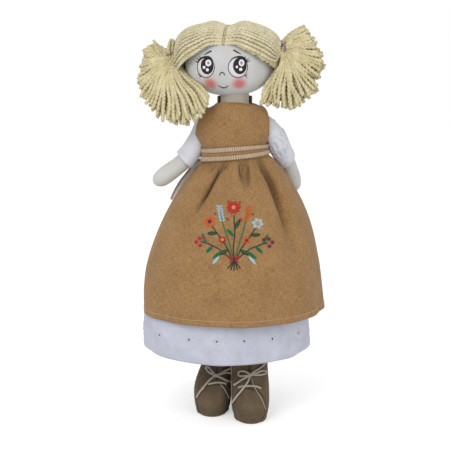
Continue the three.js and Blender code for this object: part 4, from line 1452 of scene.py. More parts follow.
# Side bunches: the loose ends of the yarn, which fan out of the tie and hang down, cut blunt.
bunch_reach = 62
bunch_thickness = 26
bunch_fans = {"left": (54, -113), "right": (27, -136)}
bunch_leans = {"left": 9, "right": 29}
bunch_layers = 5
bunch_strands = 29
bunch_rise = {"left": -8, "right": -4}
bunch_shares = {
    "left": np.array([
        [0, 0.3, 0.5], [0.05, 0.46, 0.7], [0.15, 0.49, 0.9], [0.25, 0.54, 1], [0.34, 0.58, 1],
        [0.4, 0.68, 1], [0.47, 0.73, 1], [0.56, 0.79, 1], [0.62, 0.88, 1], [0.7, 0.91, 1],
        [0.78, 0.98, 1], [0.85, 0.96, 0.95], [0.93, 0.99, 0.9], [1, 0.9, 0.55]]),
    "right": np.array([
        [0, 0.42, 0.6], [0.1, 0.52, 0.8], [0.24, 0.6, 0.9], [0.43, 0.74, 1], [0.56, 0.9, 1], [0.69, 1.03, 1],
        [0.81, 1.13, 1], [0.915, 1.13, 0.85], [1, 0.97, 0.5]]),
}
bunch_step_shares = np.array([
    [0, 0.2], [0.04, 0.3], [0.16, 0.45], [0.34, 0.86], [0.55, 1], [0.78, 0.88], [0.93, 0.62], [1, 0.5]])


def loose_strand(name, side, share, layer, shorter):
    """One strand of a bunch, from the tie to its blunt tip. The layer is -1 in front and 1 behind."""
    gather = np.array(gathers_beside[name], float)
    table = bunch_shares[name]
    reached = np.linspace(0, 1, 34)
    low, high = bunch_fans[name]
    tip = math.radians(low + (high - low) * share)
    first = math.radians(bunch_rise[name] + 0.8 * (math.degrees(tip) - bunch_rise[name]))
    turn = first + (tip - first) * eased_step(reached, 0, 0.75)
    reach = bunch_reach * smooth(table, 1, share) * reached * shorter
    edge = (1 - abs(2 * share - 1) ** 3) ** 0.5
    thick = (bunch_thickness / 2) * np.interp(reached, bunch_step_shares[:, 0], bunch_step_shares[:, 1])
    thick = thick * smooth(table, 2, share) * (0.3 + 0.7 * edge)
    drop = np.maximum(0, -reach * np.sin(turn))
    lean = math.tan(math.radians(bunch_leans[name]))
    sway = 1.3 * np.sin(5 * reached + 40 * share + 3 * layer) + 0.7 * np.sin(13 * reached + 71 * share)
    sway *= reached
    places = np.stack((
        gather[0] + side * (reach * np.cos(turn) + sway),
        gather[1] - lean * drop + layer * thick + 0.8 * sway,
        gather[2] + reach * np.sin(turn),
    ), axis=-1)
    for k, place in enumerate(places):
        under = on_hair(place, -1.2 * yarn_radius)
        skin = first_hit(skin_tree, (0, 0, 0), place)[0]
        needed = np.linalg.norm(under) if place[2] > -2 else np.linalg.norm(skin) / mm + 2
        own = np.linalg.norm(place)
        if own < needed and k > 5:
            places[k] = place * (needed / own)
    places = through(places, max(16, int(1.1 * reach[-1] / yarn_step)))
    along_it = np.linspace(0, 1, len(places))
    sizes = 0.45 + 0.63 * eased_step(along_it, 0.0, 0.4)
    sizes *= 1 + 0.07 * np.sin(14 * along_it + 20 * share)
    sizes[-1] *= 0.7
    return twisted_run(on_neck(places), sizes, yarn_pitch, 6 * yarn_rng.random())


def seen_at(x, y, depth):
    """The place, in the source's millimetres, that a pixel shows at a distance behind the doll's middle."""
    sight = np.array(line_of_sight(x, y))
    place = np.array(camera.location) + sight * (depth * mm - camera.location.y) / sight[1]
    return place / mm - np.array((centring, 0, 0))


# Short ends that stand up out of a bunch, as pixels of the photograph with a depth behind the doll's middle.
bunch_spikes = {
    "left": [
        [(281.5, 46, -6), (291, 38, -8), (299, 30.5, -8), (304.6, 25.4, -8)],
        [(282.5, 43, -4), (292, 34.5, -6), (300, 28.5, -6), (305, 25.8, -6)],
        [(283, 47, -9), (294, 41, -11), (302, 33, -11), (306, 28, -10)],
        [(282, 42.5, 0), (290, 34, 0), (298.5, 28.4, -1), (303.6, 26, -2)],
    ],
    "right": [
        [(170, 60, 2), (163.5, 53.5, 0), (158, 47.5, 0), (153.2, 40, 0)],
        [(170.5, 58, 4), (165, 51, 4), (160.5, 48, 4), (154, 41, 4)],
        [(169, 61, 0), (162, 56, -2), (157.5, 50.5, -2), (153.6, 42, -2)],
        [(170, 59, 0), (168.6, 51, -2), (168.8, 45, -2), (170.6, 39.6, -1)],
        [(171.6, 59, 2), (170.6, 50, 1), (170.6, 44, 1), (171.8, 38.6, 1)],
        [(173, 59, 0), (172.6, 50, -1), (172.8, 44, -2), (172.6, 39, -1)],
        [(174.4, 59, 2), (174.4, 50, 1), (174.4, 44.6, 1), (173.8, 40.4, 1)],
    ],
}
skin_tree = BVHTree.FromBMesh(wrapped(round_head, 96, 64, placed=about_head))
bunch_yarn = yarn_finish("bunch_yarn", (198, 184, 136), (230, 219, 180))
for name, side in sides.items():
    runs = []
    for row in range(bunch_layers):
        layer = -0.86 + 1.72 * row / (bunch_layers - 1)
        for i in range(bunch_strands):
            share = (i + 0.5 + 0.5 * (row % 2) + 0.5 * (yarn_rng.random() - 0.5)) / (bunch_strands + 0.5)
            shorter = 0.86 + 0.16 * yarn_rng.random()
            depth = layer + 0.12 * yarn_rng.random()
            runs.append(loose_strand(name, side, min(0.995, share), depth, shorter))
    for spike in bunch_spikes[name]:
        line = through(np.array([seen_at(x, y, depth) for x, y, depth in spike]), 24)
        sizes = np.linspace(1.15, 0.7, len(line))
        runs.append(twisted_run(in_frame(line), sizes, yarn_pitch, 6 * yarn_rng.random()))
    bunch = name + "_bunch"
    make_piece(name + "_loose_yarn", thread_mesh(runs, yarn_radius, plies), bunch_yarn, bunch, bunch)
bpy.data.objects.remove(plies)

# Hair ties: thin mauve elastic wound three times round each gather.
elastic_finish = cotton_thread("mauve_elastic", (158, 134, 132))
tie_turns = 3
tie_radius = 0.75
tie_rings = {"left": 6.3, "right": 8.4}
tie_middles = {"left": (3.7, 0), "right": (6.5, 0.5)}
tie_tilts = {"left": 0, "right": 62}
for name, side in sides.items():
    gather = np.array(gathers_beside[name], float)
    out, up = tie_middles[name]
    tilt = math.radians(tie_tilts[name])
    wound = []
    for step in np.linspace(0, 1, 24 * tie_turns + 1):
        angle = 2 * math.pi * tie_turns * step
        advance, rise = tie_width * (step - 0.5), tie_rings[name] * math.sin(angle)
        wound.append(gather + np.array((
            side * (out + advance * math.cos(tilt) - rise * math.sin(tilt)),
            tie_rings[name] * math.cos(angle),
            up + advance * math.sin(tilt) + rise * math.cos(tilt),
        )))
    make_piece(
        name + "_elastic", thread_mesh([plain_run(on_neck(wound))], tie_radius), elastic_finish,
        name + "_bunch", name + "_hair_tie")


# Arms: stuffed cotton arms that end in plain mitten hands. Each is sewn on at the shoulder and hangs down.
arm_diameter = 17.2
arm_length = 78
snap_range = (0.9, 0.95)
arm_shares = {
    "left": np.array([
        [0, 0, 0], [0.19, 0.03, 0.16], [0.31, 0.09, 0.37], [0.41, 0.21, 0.57], [0.47, 0.38, 0.8],
        [0.49, 0.5, 0.96]]),
    "right": np.array([
        [0, 0, 0], [0.12, 0, 0.21], [0.23, 0, 0.39], [0.36, 0, 0.55], [0.55, 0, 0.71], [0.7, 0, 0.85]]),
}
hand_shares = {"left": 1.1, "right": 1.18}
forearm_shares = {"left": 1.0, "right": 1.1}
arm_slim_share = 0.92
shoulder_cap = 0.5
cap_share = 0.3
arm_bows = {"left": 1.9, "right": 3.2}
arm_back = 2.5
arm_stretch = {"left": 1.5, "right": -1.5}


def arm_radius(name, share):
    """An arm's radius along it, which swells to the hand and rounds off at its tip."""
    hand = hand_shares[name]
    shares = np.array([
        [0, 1], [0.3, 0.98], [0.55, forearm_shares[name]], [0.68, 1.02 * forearm_shares[name]],
        [0.82, hand], [0.93, hand * 0.86],
        [0.98, hand * 0.52], [1, hand * 0.2]])
    return arm_slim_share * arm_diameter / 2 * smooth(shares, 1, share)


def bowed(name, places, share):
    """An arm's places in metres, bowed towards the body and back, and stretched to its own length."""
    between = np.sin(np.pi * np.clip(share, 0, 1))[:, None]
    inward = np.array((-sides[name] * arm_bows[name], arm_back, 0))
    onward = np.array((sides[name] * 0.64, 0, -0.77)) * arm_stretch[name]
    return places + mm * (between * inward + np.asarray(share)[:, None] ** 2 * onward)


def arm_line(name, count=200):
    """Evenly spaced places down the middle of an arm, in metres."""
    side = sides[name]
    shoulder = np.array((shoulder_shift + side * shoulder_spread / 2, 0, shoulder_level))
    steps = arm_shares[name] * arm_length * np.array((side, 1, -1))
    return in_frame(through(shoulder + steps, count))


def smoothed(mesh, rounds):
    for _ in range(rounds):
        bmesh.ops.smooth_vert(
            mesh, verts=mesh.verts, factor=0.5, use_axis_x=True, use_axis_y=True, use_axis_z=True)
    return mesh


def stuffed(node, cell, rounds):
    """A CAD node's form as one smooth skin."""
    mesh = bmesh.new()
    mesh.from_mesh(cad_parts[node].data)
    bmesh.ops.remove_doubles(mesh, verts=mesh.verts, dist=mm / 1000)
    coarse = make_bare("coarse", mesh)
    cells = coarse.modifiers.new("cells", "REMESH")
    cells.mode = "VOXEL"
    cells.voxel_size = cell * mm
    return smoothed(taken_from(coarse), rounds)


def share_along(line, places):
    """The nearest point of a line to each place, and how far along the line it lies."""
    nearest = np.linalg.norm(places[:, None] - line[None], axis=2).argmin(axis=1)
    return nearest, nearest / (len(line) - 1)


def arm_skin(name, line):
    """An arm's skin, which swells evenly to its radius and keeps the rounded tip of its CAD form."""
    skin = stuffed(name + "_arm", 1.0, 6)
    places = places_of(skin)
    nearest, share = share_along(line, places)
    outward = places - line[nearest]
    cap = shoulder_cap * (1 - eased_step(share, cap_share, cap_share + 0.05))
    ratio = np.linalg.norm(outward, axis=1) / ((arm_radius(name, share) + cap) * mm)
    pull = eased_step(ratio, *snap_range) * (1 - eased_step(share, 0.985, 1))
    move_to(skin, line[nearest] + outward * (1 + pull * (1 / ratio - 1))[:, None])
    return smoothed(skin, 3)


def by_object(name, dark, light, threads, bump, sheen=0.1):
    """A woven cloth patterned on Object coordinates, for forms without a map of their own."""
    finish, tree, shader = new_finish(name, 0.92, sheen)
    solid = add_node(tree, "ShaderNodeTexCoord")
    parts = add_node(tree, "ShaderNodeSeparateXYZ", {0: solid.outputs["Object"]}).outputs
    slanted = worked_out(tree, "ADD", parts["X"], parts["Y"])
    flat = add_node(tree, "ShaderNodeCombineXYZ", {0: slanted, 1: parts["Z"]})
    height, slubs = weave_on(tree, flat.outputs[0], threads, 14)
    mixed = mean_of(tree, 0.6, slubs, noise(tree, 70.0, 3.0))
    colour_with(tree, shader, mapped(tree, mixed, 0.34, 0.66), dark, light)
    raise_with(tree, shader, height, bump, 0.5)
    return finish


limb_cloth = by_object("limb_cloth", (195, 194, 188), (210, 210, 205), 3400, 0.05, 0.15)
sleeve_cotton = by_object("sleeve_cotton", (204, 205, 215), (224, 225, 233), 2600, 0.08, 0.2)
for name in sides:
    line = arm_line(name)
    arm_mesh = arm_skin(name, line)
    places = places_of(arm_mesh)
    _, share = share_along(line, places)
    move_to(arm_mesh, bowed(name, places, share))
    for face in arm_mesh.faces:
        face.material_index = int(share[face.verts[0].index] < cap_share)
    node = name + "_arm"
    arm = make_piece(name + "_stuffed_arm", arm_mesh, limb_cloth, node, node)
    arm.data.materials.append(sleeve_cotton)

# Sleeves: three-quarter sleeves of the underdress, which crumple a little and end in a narrow hem.
sleeve_shares = {"left": 0.62, "right": 0.57}
sleeve_room = 0.7
cuff_flare = 0.5
crumple = 0.16
cuff_hem = 5
cuff_draw_shares = {"left": 0.93, "right": 0.99}
cuff_tilt_shares = {"left": 0.075, "right": 0.03}
elbow_fullness = {"left": 2, "right": 0.9}
for name, side in sides.items():
    line = arm_line(name)
    cuff = sleeve_shares[name]
    sleeve_mesh = stuffed(name + "_sleeve", 0.45, 4)
    places = places_of(sleeve_mesh)
    nearest, share = share_along(line, places)
    outward = places - line[nearest]
    own = np.linalg.norm(outward, axis=1)
    outward /= own[:, None]
    own /= mm
    flare = sleeve_room + cuff_flare * eased_step(share / cuff, 0.6, 1)
    solid_radius = arm_diameter / 2 + flare
    outer = own > solid_radius + cotton_thickness / 2
    close = 1 - eased_step(np.abs(own - solid_radius - cotton_thickness * outer), 0.6, 1.6)
    full = elbow_fullness[name] * np.sin(np.pi * np.clip(share / cuff, 0, 1))
    snapped = arm_radius(name, np.minimum(share, 0.55)) + flare + full + (
        close * cotton_thickness * outer + (1 - close) * np.clip(own - solid_radius, 0, cotton_thickness))
    angle = np.arctan2(outward[:, 1], outward[:, 0])
    length = share * arm_length
    folds = crumple * np.sin(
        length / 3.4 + 1.9 * np.sin(angle + 0.9) + 1.3 * np.sin(2 * angle + length / 15)) * np.clip(
            (cuff * arm_length - length) / cuff_hem - 0.4, 0, 1)
    folds += 0.35 * np.sin(3 * angle + length / 9) * eased_step(share / cuff, 0.2, 0.6)
    hem = 0.35 * (length > cuff * arm_length - cuff_hem) * outer
    snapped += np.clip(folds, -0.25, None) * close + hem * close
    drawn = share * (cuff_draw_shares[name] - cuff_tilt_shares[name] * side * outward[:, 0])
    along_arm = along_line(drawn, np.linspace(0, 1, len(line)), line)
    move_to(sleeve_mesh, bowed(name, along_arm + outward * (snapped * mm)[:, None], drawn))
    sleeve = make_piece(
        name + "_cotton_sleeve", sleeve_mesh, sleeve_cotton, name + "_arm", name + "_sleeve")


# Boots: thick felt, cut as a toe piece under two quarters that meet over a tongue, on a flat felt sole.
boot_length = 63
boot_width = 39
boot_height = 76
boot_squareness = 2.3
foot_spacing = 40.5
foot_shift = -2.6
stride = 19.5
foot_back = 1.8
sole_thickness = 2.6
sole_inset = 3.1
sole_level = 0.06 * boot_height
felt_low = 0.7
felt_thickness = 2
felt_step = 0.8
slit_width = 1
slit_flare = 0.07
tongue_width = 15
tongue_low = 24
tongue_height = 66
tongue_thickness = 1.4
closing = 0.68
outer_taper = {"left": 0.5, "right": 8.5}
inner_taper = {"left": 3.6, "right": 1.5}
boot_shares = np.array([
    [0.03, 0.68, 0.235, 0.88],
    [0.1, 0.725, 0.258, 0.945],
    [0.2, 0.74, 0.265, 0.99],
    [0.3, 0.69, 0.262, 1],
    [0.38, 0.6, 0.26, 1],
    [0.46, 0.48, 0.258, 0.99],
    [0.55, 0.37, 0.258, 0.97],
    [0.66, 0.3, 0.26, 0.95],
    [1, 0.265, 0.265, 0.92],
])
toe_seam_pixels = {
    "left": ((249.6, 388.1), (233.2, 403.5), (266, 409.4)),
    "right": ((216.7, 383.8), (196.8, 398.6), (230, 402.6)),
}


def drawn_in(name, across_share, along_share, height):
    """How far a boot's side moves away from the doll's outline as its shaft narrows to the ankle."""
    side = sides[name]
    outer = np.clip(side * across_share, 0, 1)
    inner = np.clip(-side * across_share, 0, 1)
    slack = boot_width / 2 * (1 - smooth(boot_shares, 3, height / boot_height))
    slack = slack * eased_step(height / boot_height, 0.04, 0.24)
    ahead = eased_step(-along_share, 0.25, 0.8)
    rise = height / boot_height
    return side * (
        inner * (inner_taper[name] * ahead * eased_step(rise, 0.3, 0.62) - closing - (1 - ahead) * slack)
        - outer * outer_taper[name] * eased_step(rise, 0.26, 0.72)
    )


def boot_surface(name):
    """A boot's outer side as a function of the turn and the height."""
    side = sides[name]

    def surface(turn, height):
        share = height / boot_height
        toe = -boot_length * smooth(boot_shares, 1, share)
        heel = boot_length * smooth(boot_shares, 2, share)
        half = boot_width / 2 * smooth(boot_shares, 3, share)
        wide, long = across(turn, boot_squareness), along(turn, boot_squareness)
        return np.stack((
            foot_shift + side * foot_spacing / 2 + half * wide + drawn_in(name, wide, long, height),
            foot_back - side * stride / 2 + (heel + toe) / 2 + (heel - toe) / 2 * long,
            height + 0 * turn,
        ), axis=-1)

    return surface


def felt_finish(name, dark, light):
    """Pressed wool felt: matted fibres in close shades, without a weave."""
    finish, tree, shader = new_finish(name, 0.98, 0.04)
    matted = noise(tree, 500.0, 3.0, Distortion=1.4)
    fine = mean_of(tree, 0.5, matted, noise(tree, 1700.0, 4.0, Roughness=0.75))
    mixed = mean_of(tree, 0.35, fine, noise(tree, 90.0))
    colour_with(tree, shader, mapped(tree, mixed, 0.36, 0.64), dark, light)
    raise_with(tree, shader, fine, 0.5, 0.7)
    return finish


felt = felt_finish("olive_felt", (88, 75, 58), (118, 101, 80))


def boot_levels(name, out, low, high):
    """A boot's surface between two heights, as a function of shares."""
    return round_levels(boot_surface(name), low, high, out)


def boot_tree(name, out):
    """A form a given distance off a boot, for finding places on it."""
    form = wrapped(boot_levels(name, out, sole_thickness, boot_height), 144, 80)
    tree = BVHTree.FromBMesh(form)
    form.free()
    return tree


def rounded_edges(piece, width):
    """Softens a felt piece's cut edges."""
    bevel = piece.modifiers.new("cut_edges", "BEVEL")
    bevel.width = width * mm
    bevel.segments = 2
    bevel.limit_method = "ANGLE"
    bevel.angle_limit = math.radians(50)


def sole_surface(name):
    """The sole's rim, a little inside the boot's lower edge and rounded, as a function of shares."""
    surface = boot_surface(name)

    def at_shares(round_share, up_share):
        turn = 90 + 360 * round_share
        inset = sole_inset + 0.5 * np.abs(2 * up_share - 1) ** 2
        rim = lifted(surface, turn, sole_level, -inset)
        rim[..., 2] = sole_thickness * up_share
        return rim
    return at_shares


for name, side in sides.items():
    leg = name + "_leg"
    felt_side = boot_tree(name, 0)
    apex, low_left, low_right = (
        first_hit(felt_side, camera.location, line_of_sight(*pixel))[0] for pixel in toe_seam_pixels[name])
    ahead = (low_right - low_left).cross(apex - low_left).normalized()
    if ahead.y > 0:
        ahead = -ahead

    toe = wrapped(boot_levels(name, -felt_step, felt_low, boot_height), 168, 84)
    split(toe, apex + ahead * gap * mm / 2, ahead)
    toe_piece = make_piece(name + "_felt_toe", toe, felt, leg, name + "_vamp")
    thicken(toe_piece, felt_thickness)
    rounded_edges(toe_piece, felt_thickness / 5)

    tongue = wrapped(boot_levels(name, -felt_thickness - gap, tongue_low, tongue_height), 240, 60)
    reach = tongue_width * mm / 2
    split(tongue, apex + Vector((-reach, 0, 0)), (1, 0, 0))
    split(tongue, apex + Vector((reach, 0, 0)), (-1, 0, 0))
    split(tongue, apex + Vector((0, 20 * mm, 0)), (0, -1, 0))
    tongue_piece = make_piece(name + "_felt_tongue", tongue, felt, leg, name + "_vamp")
    thicken(tongue_piece, tongue_thickness)

    quarter = wrapped(boot_levels(name, 0, felt_low, boot_height), 168, 84)
    split(quarter, apex - ahead * gap * mm / 2, -ahead)
    for edge in (-1, 1):
        beside = apex + Vector((edge * slit_width * mm / 2, 0, 0))
        split(quarter, beside, (1, 0, -edge * slit_flare), clear=False)
    opened = []
    for face in quarter.faces:
        middle = face.calc_center_median() - apex
        if middle.y < 20 * mm and abs(middle.x) < slit_width * mm / 2 + slit_flare * middle.z:
            opened.append(face)
    bmesh.ops.delete(quarter, geom=opened, context="FACES")
    quarter_piece = make_piece(name + "_felt_quarter", quarter, felt, leg, name + "_quarter")
    thicken(quarter_piece, felt_thickness)
    rounded_edges(quarter_piece, felt_thickness / 5)

    sole = wrapped(sole_surface(name), 144, 6)
    close_ends(sole)
    make_piece(name + "_felt_sole", sole, felt, leg, name + "_sole")

# Legs: stuffed cotton legs and feet, which the skirts and boots hide. Each narrows as its boot does.
for name, side in sides.items():
    limb = stuffed(name + "_leg", 1.3, 8)
    ankle = in_frame((foot_shift + side * foot_spacing / 2, foot_back - side * stride / 2, 0))
    for vert in limb.verts:
        if vert.co.z < boot_height * mm:
            wide = 2 * (vert.co.x - ankle[0]) / (boot_width * mm)
            long = (vert.co.y - ankle[1]) / (boot_length * 0.26 * mm)
            shift = drawn_in(name, np.clip(1.6 * wide, -1, 1), np.clip(long, -1, 1), vert.co.z / mm)
            fade = 1 - eased_step(vert.co.z / mm, 0.8 * boot_height, boot_height)
            vert.co.x += float(shift * fade) * mm
    node = name + "_leg"
    leg = make_piece(name + "_stuffed_leg", limb, limb_cloth, node, node)

# Laces: a thin twisted cord to each boot. It runs down the quarter's edge and ties in a bow on the instep.
lace_radius = 1.1
lace_pitch = 3.4
lace_clearance = 0.2
edge_thread_size = 0.42
lace_finish = cotton_thread("grey_beige_cord", (203, 190, 176))
lace_knots = {"left": (251, 374.6), "right": (216, 375.4)}
lace_lines = {
    "left": {
        "across": (0.2, [(238.2, 387.6), (242, 386.4), (246.5, 386), (254.2, 386.2), (258, 387),
                         (261, 388.6)]),
        "edge": (0.5, [(249.6, 376), (249, 379.4), (246.5, 384), (241.9, 390), (236.6, 396.4), (232, 402.8)]),
        "left_loop": (1.6, [(250.5, 374.6), (246, 371.8), (241.6, 371), (238.8, 372.2), (238.2, 374.4),
                            (240, 376), (245, 375.8), (250.5, 375)]),
        "right_loop": (1.6, [(251.5, 374.2), (256.5, 373), (261.5, 371), (265.4, 370.8), (266.2, 373),
                             (262.2, 374.6), (256.5, 375), (251.5, 374.6)]),
        "upper_end": (2.6, [(250.5, 374.6), (254.2, 371.6), (259, 368.6), (262.4, 366.2), (265.4, 363)]),
        "lower_end": (2.2, [(251, 374.8), (247, 377), (241.2, 380.2), (237.4, 382.8), (234.8, 384.6)]),
        "thread": (0, [(251.8, 378.4), (253.2, 384), (256, 390), (260, 396.4), (263.4, 403), (265.6, 409)]),
    },
    "right": {
        "across": (0.2, [(208.2, 384.2), (212, 383.4), (216.6, 382.6), (222.6, 383), (226.4, 384)]),
        "edge": (0.5, [(215, 376), (211.4, 378.4), (208.4, 381.2), (205.4, 385), (202.4, 388.6), (199, 392.8),
                       (196.6, 397.2)]),
        "left_loop": (1.4, [(215.6, 375.2), (211.8, 371), (208.4, 367.2), (206, 366.4), (206.4, 369),
                            (209.4, 372.4), (215.6, 375.8)]),
        "right_loop": (1.6, [(216.2, 375.6), (221, 374.2), (226.4, 372.8), (230.6, 373.4), (232.2, 377),
                             (230.8, 380.8), (227.8, 381.2), (222.4, 378.4), (216.2, 375.8)]),
        "upper_end": (1.8, [(216, 375.4), (219.7, 373.6), (225.4, 370.6), (230.4, 368.6), (232.4, 366.6)]),
        "thread": (0, [(220.6, 384.4), (223.6, 388), (227, 393.4), (229.2, 398.4)]),
    },
}
small_knots = {"left": (234.6, 384.6, 1.6), "right": (202.8, 388.2, 0.9)}
boot_trees = {name: boot_tree(name, lace_radius + lace_clearance) for name in sides}


def on_boot(name, x, y, lift):
    """The place that the camera sees at a pixel, a little nearer than a cord lying on the boot there. Beyond
    the boot's edge it is level with the boot's knot."""
    sight = line_of_sight(x, y)
    place, _ = first_hit(boot_trees[name], camera.location, sight)
    knot = first_hit(boot_trees[name], camera.location, line_of_sight(*lace_knots[name]))[0]
    deepest = knot.y + 4 * mm
    if place is None or place.y > deepest:
        return np.array(camera.location) + np.array(sight) * (deepest - camera.location.y) / sight[1]
    return np.array(place - sight * lift * mm)


def winding(middle, radius, tilt):
    """One round turn of cord about a knot's middle, in millimetres of radius and radians of tilt."""
    angles = np.linspace(0, 2 * math.pi, 26)
    return middle + radius * mm * np.stack((
        np.cos(angles), 0.9 * np.sin(angles) * math.cos(tilt), np.sin(angles) * math.sin(tilt)), axis=-1)


cord_plies = ply_profile(lace_radius, 8)
for name, lines in lace_lines.items():
    runs = []
    for part, (lift, pixels) in lines.items():
        seen = through(np.array(pixels, float), 3 * len(pixels) + 8)
        shares = np.linspace(0, 1, len(seen))
        raised = np.sin(np.pi / 2 * shares) if part.endswith("end") else np.sin(np.pi * shares) ** 0.7
        size = edge_thread_size if part == "thread" else 1
        heights = lift * raised - lace_radius * (1 - size)
        places = np.array([on_boot(name, x, y, out) for (x, y), out in zip(seen, heights)])
        kept = np.arange(len(places)) % 2 == 0
        kept[-1] = True
        places = through(places[kept], 90)
        runs.append(twisted_run(places, np.full(len(places), size), lace_pitch * size))
    knot, end_knot = on_boot(name, *lace_knots[name], 0.9), on_boot(name, *small_knots[name])
    for middle, reach, tilt, size in (
        (knot, 1.5, 0.5, 0.9), (knot, 1.425, -0.6, 0.9), (knot, 1.2, 1.3, 0.9),
        (end_knot, 0.9, 0.4, 0.8), (end_knot, 0.9, -0.9, 0.8),
    ):
        wrap = winding(middle, reach, tilt)
        runs.append(twisted_run(wrap, np.full(len(wrap), size), lace_pitch))
    lace = thread_mesh(runs, lace_radius, cord_plies)
    make_piece(name + "_tied_lace", lace, lace_finish, name + "_leg", name + "_lace")
bpy.data.objects.remove(cord_plies)


# Bow behind the waist: a striped woven ribbon tied in a bow. One tail hangs behind, and the other is swept
# round to the doll's right, where its edge shows.
ribbon_width = 8
ribbon_thickness = 0.6
bow_knot_width = 9
bow_loop_length = 26
bow_tail_length = 70
bow_back = clothes_surface(np.array([90.0]), np.array([seam_height]))[0, 1] + tape_outside + gap
bow_knot = np.array((neck_shift, bow_back + bow_knot_width / 2, seam_height))


def striped_ribbon():
    """A soft ribbon with mauve-brown edges and a pale middle."""
    finish, tree, shader = new_finish("striped_ribbon", 0.75, 0.25)
    off = worked_out(tree, "SUBTRACT", map_parts(tree)["Y"], ribbon_width * mm / 2)
    away = worked_out(tree, "ABSOLUTE", off)
    stripe = mapped(tree, away, 0.22 * ribbon_width * mm, 0.27 * ribbon_width * mm)
    colour_with(tree, shader, stripe, (238, 232, 230), (172, 146, 136))
    raise_with(tree, shader, rib_wave(tree, 0.7), 0.05)
    return finish


def ribbon(name, line, facing, finish):
    """A ribbon along a line of places in millimetres, its broad side facing a direction."""
    steps = 90
    middle = through(np.array(line, float), steps)
    ahead = np.gradient(middle, axis=0)
    ahead /= np.linalg.norm(ahead, axis=1)[:, None]
    edge = np.cross(facing, ahead)
    edge /= np.linalg.norm(edge, axis=1)[:, None]

    def at_shares(long_share, across_share):
        reached = long_share * (steps - 1)
        aside = along_line(reached, np.arange(steps), edge)
        return along_line(reached, np.arange(steps), middle) + aside * (
            (across_share - 0.5) * ribbon_width)[..., None]

    cloth = (lengths_along(middle)[-1], ribbon_width)
    form = wrapped(at_shares, 120, 10, cloth, closed=False)
    thicken(make_piece(name, form, finish, "torso", "back_bow"), ribbon_thickness, 0)


def behind_skirt(turn, share, out):
    """A place off the skirt, a share of a tail's length below the waist."""
    level = np.array([seam_height - share * bow_tail_length])
    return lifted(linen_skirt, np.array([float(turn)]), level, np.array([float(out)]))[0]


bow_ribbon = striped_ribbon()
half_knot = bow_knot_width / 2
knot_mesh = bmesh.new()
bmesh.ops.create_uvsphere(knot_mesh, u_segments=32, v_segments=16, radius=half_knot * mm)
knot_mesh.loops.layers.uv.new("cloth")
for vert in knot_mesh.verts:
    pinch = 0.9 * (1 - 0.12 * math.cos(5 * math.atan2(vert.co.z, vert.co.x)))
    vert.co = Vector(in_frame(bow_knot)) + Vector((pinch * vert.co.x, vert.co.y, pinch * vert.co.z))
make_piece("bow_knot", knot_mesh, bow_ribbon, "torso", "back_bow")
for name, side in sides.items():
    reach = side * bow_loop_length
    loop_line = bow_knot + np.array([
        (0, -0.5 * half_knot, 0),
        (0.5 * reach, -0.6 * half_knot, 0.2 * half_knot),
        (0.95 * reach, -0.5 * half_knot, -0.2 * half_knot),
        (reach, 0.1 * half_knot, -0.5 * half_knot),
        (0.9 * reach, 0.7 * half_knot, -0.4 * half_knot),
        (0.45 * reach, 0.9 * half_knot, 0),
        (0, 0.3 * half_knot, 0),
    ])
    ribbon("bow_loop_" + name, loop_line, (0, 0, 1), bow_ribbon)
ribbon("hanging_tail", [
    bow_knot, behind_skirt(84, 0.25, 3), behind_skirt(80, 0.6, 2.4), behind_skirt(78, 1, 2.4),
], (0, 1, 0), bow_ribbon)
ribbon("swept_tail", [
    bow_knot, behind_skirt(115, 0.12, 5), behind_skirt(143, 0.2, 7), seen_at(187.5, 176.5, 16),
    seen_at(181.5, 184.5, 13), seen_at(176.5, 193.5, 11), seen_at(173.6, 200.5, 10),
], (0, 1, 0), bow_ribbon)

# Embroidery: a posy of small flowers, berries and leaves in cotton floss, sewn through the skirt's front.
floss_radius = 0.5
floss_lift = 0.28
floss_sink = 0.25
posy_tie = (234, 258.5)
floss_colours = {
    "red": (196, 38, 44), "wine": (128, 30, 38), "orange": (222, 102, 36), "dark_green": (40, 52, 34),
    "green": (42, 118, 66), "pale_blue": (182, 206, 220), "yellow": (226, 168, 72),
}
floss_runs = {colour: [] for colour in floss_colours}


def on_linen(x, y, out):
    """The place off the linen skirt that the camera sees at a pixel."""
    place, away = first_hit(linen_skirt_tree, camera.location, line_of_sight(x, y))
    if away.dot(line_of_sight(x, y)) > 0:
        away = -away
    return np.array(place + away * out * mm)


def sew(colour, pixels, size=1.0, steps=7, rise=floss_lift):
    """One long stitch that dips into the linen at both ends."""
    line = through(np.array(pixels, float), steps) if len(pixels) > 2 else np.linspace(*pixels, steps)
    run = []
    for i, (x, y) in enumerate(line):
        arch = math.sin(math.pi * i / (steps - 1))
        out = -floss_sink + (floss_sink + rise) * arch ** 0.5
        run.append((on_linen(x, y, out), size, 0))
    floss_runs[colour].append(run)


def sew_stem(pixels, colour="dark_green", size=1.0):
    """A stem in stem stitch: slanting stitches that overlap along a line."""
    line = through(np.array(pixels, float), 60)
    count = max(2, int(lengths_along(line)[-1] / 1.9))
    for i in range(count):
        first, last = (np.array((i - 0.35, i + 1.25)) / count * 59).clip(0, 59).astype(int)
        ahead = line[last] - line[first]
        aside = np.array((-ahead[1], ahead[0])) / max(0.1, np.linalg.norm(ahead)) * 0.28
        sew(colour, [line[first] - aside, line[last] + aside], size)


def sew_petal(colour, root, tip, width, strands=4):
    """A petal filled with strands that meet at its root and tip."""
    root, tip = np.array(root, float), np.array(tip, float)
    aside = np.array((-(tip - root)[1], (tip - root)[0])) / np.linalg.norm(tip - root)
    for share in np.linspace(-1, 1, strands):
        bow = aside * share * width / 2
        short = 0.12 * abs(share) * (tip - root)
        sew(colour, [root + 0.25 * bow, (root + tip) / 2 + bow, tip + 0.2 * bow - short])


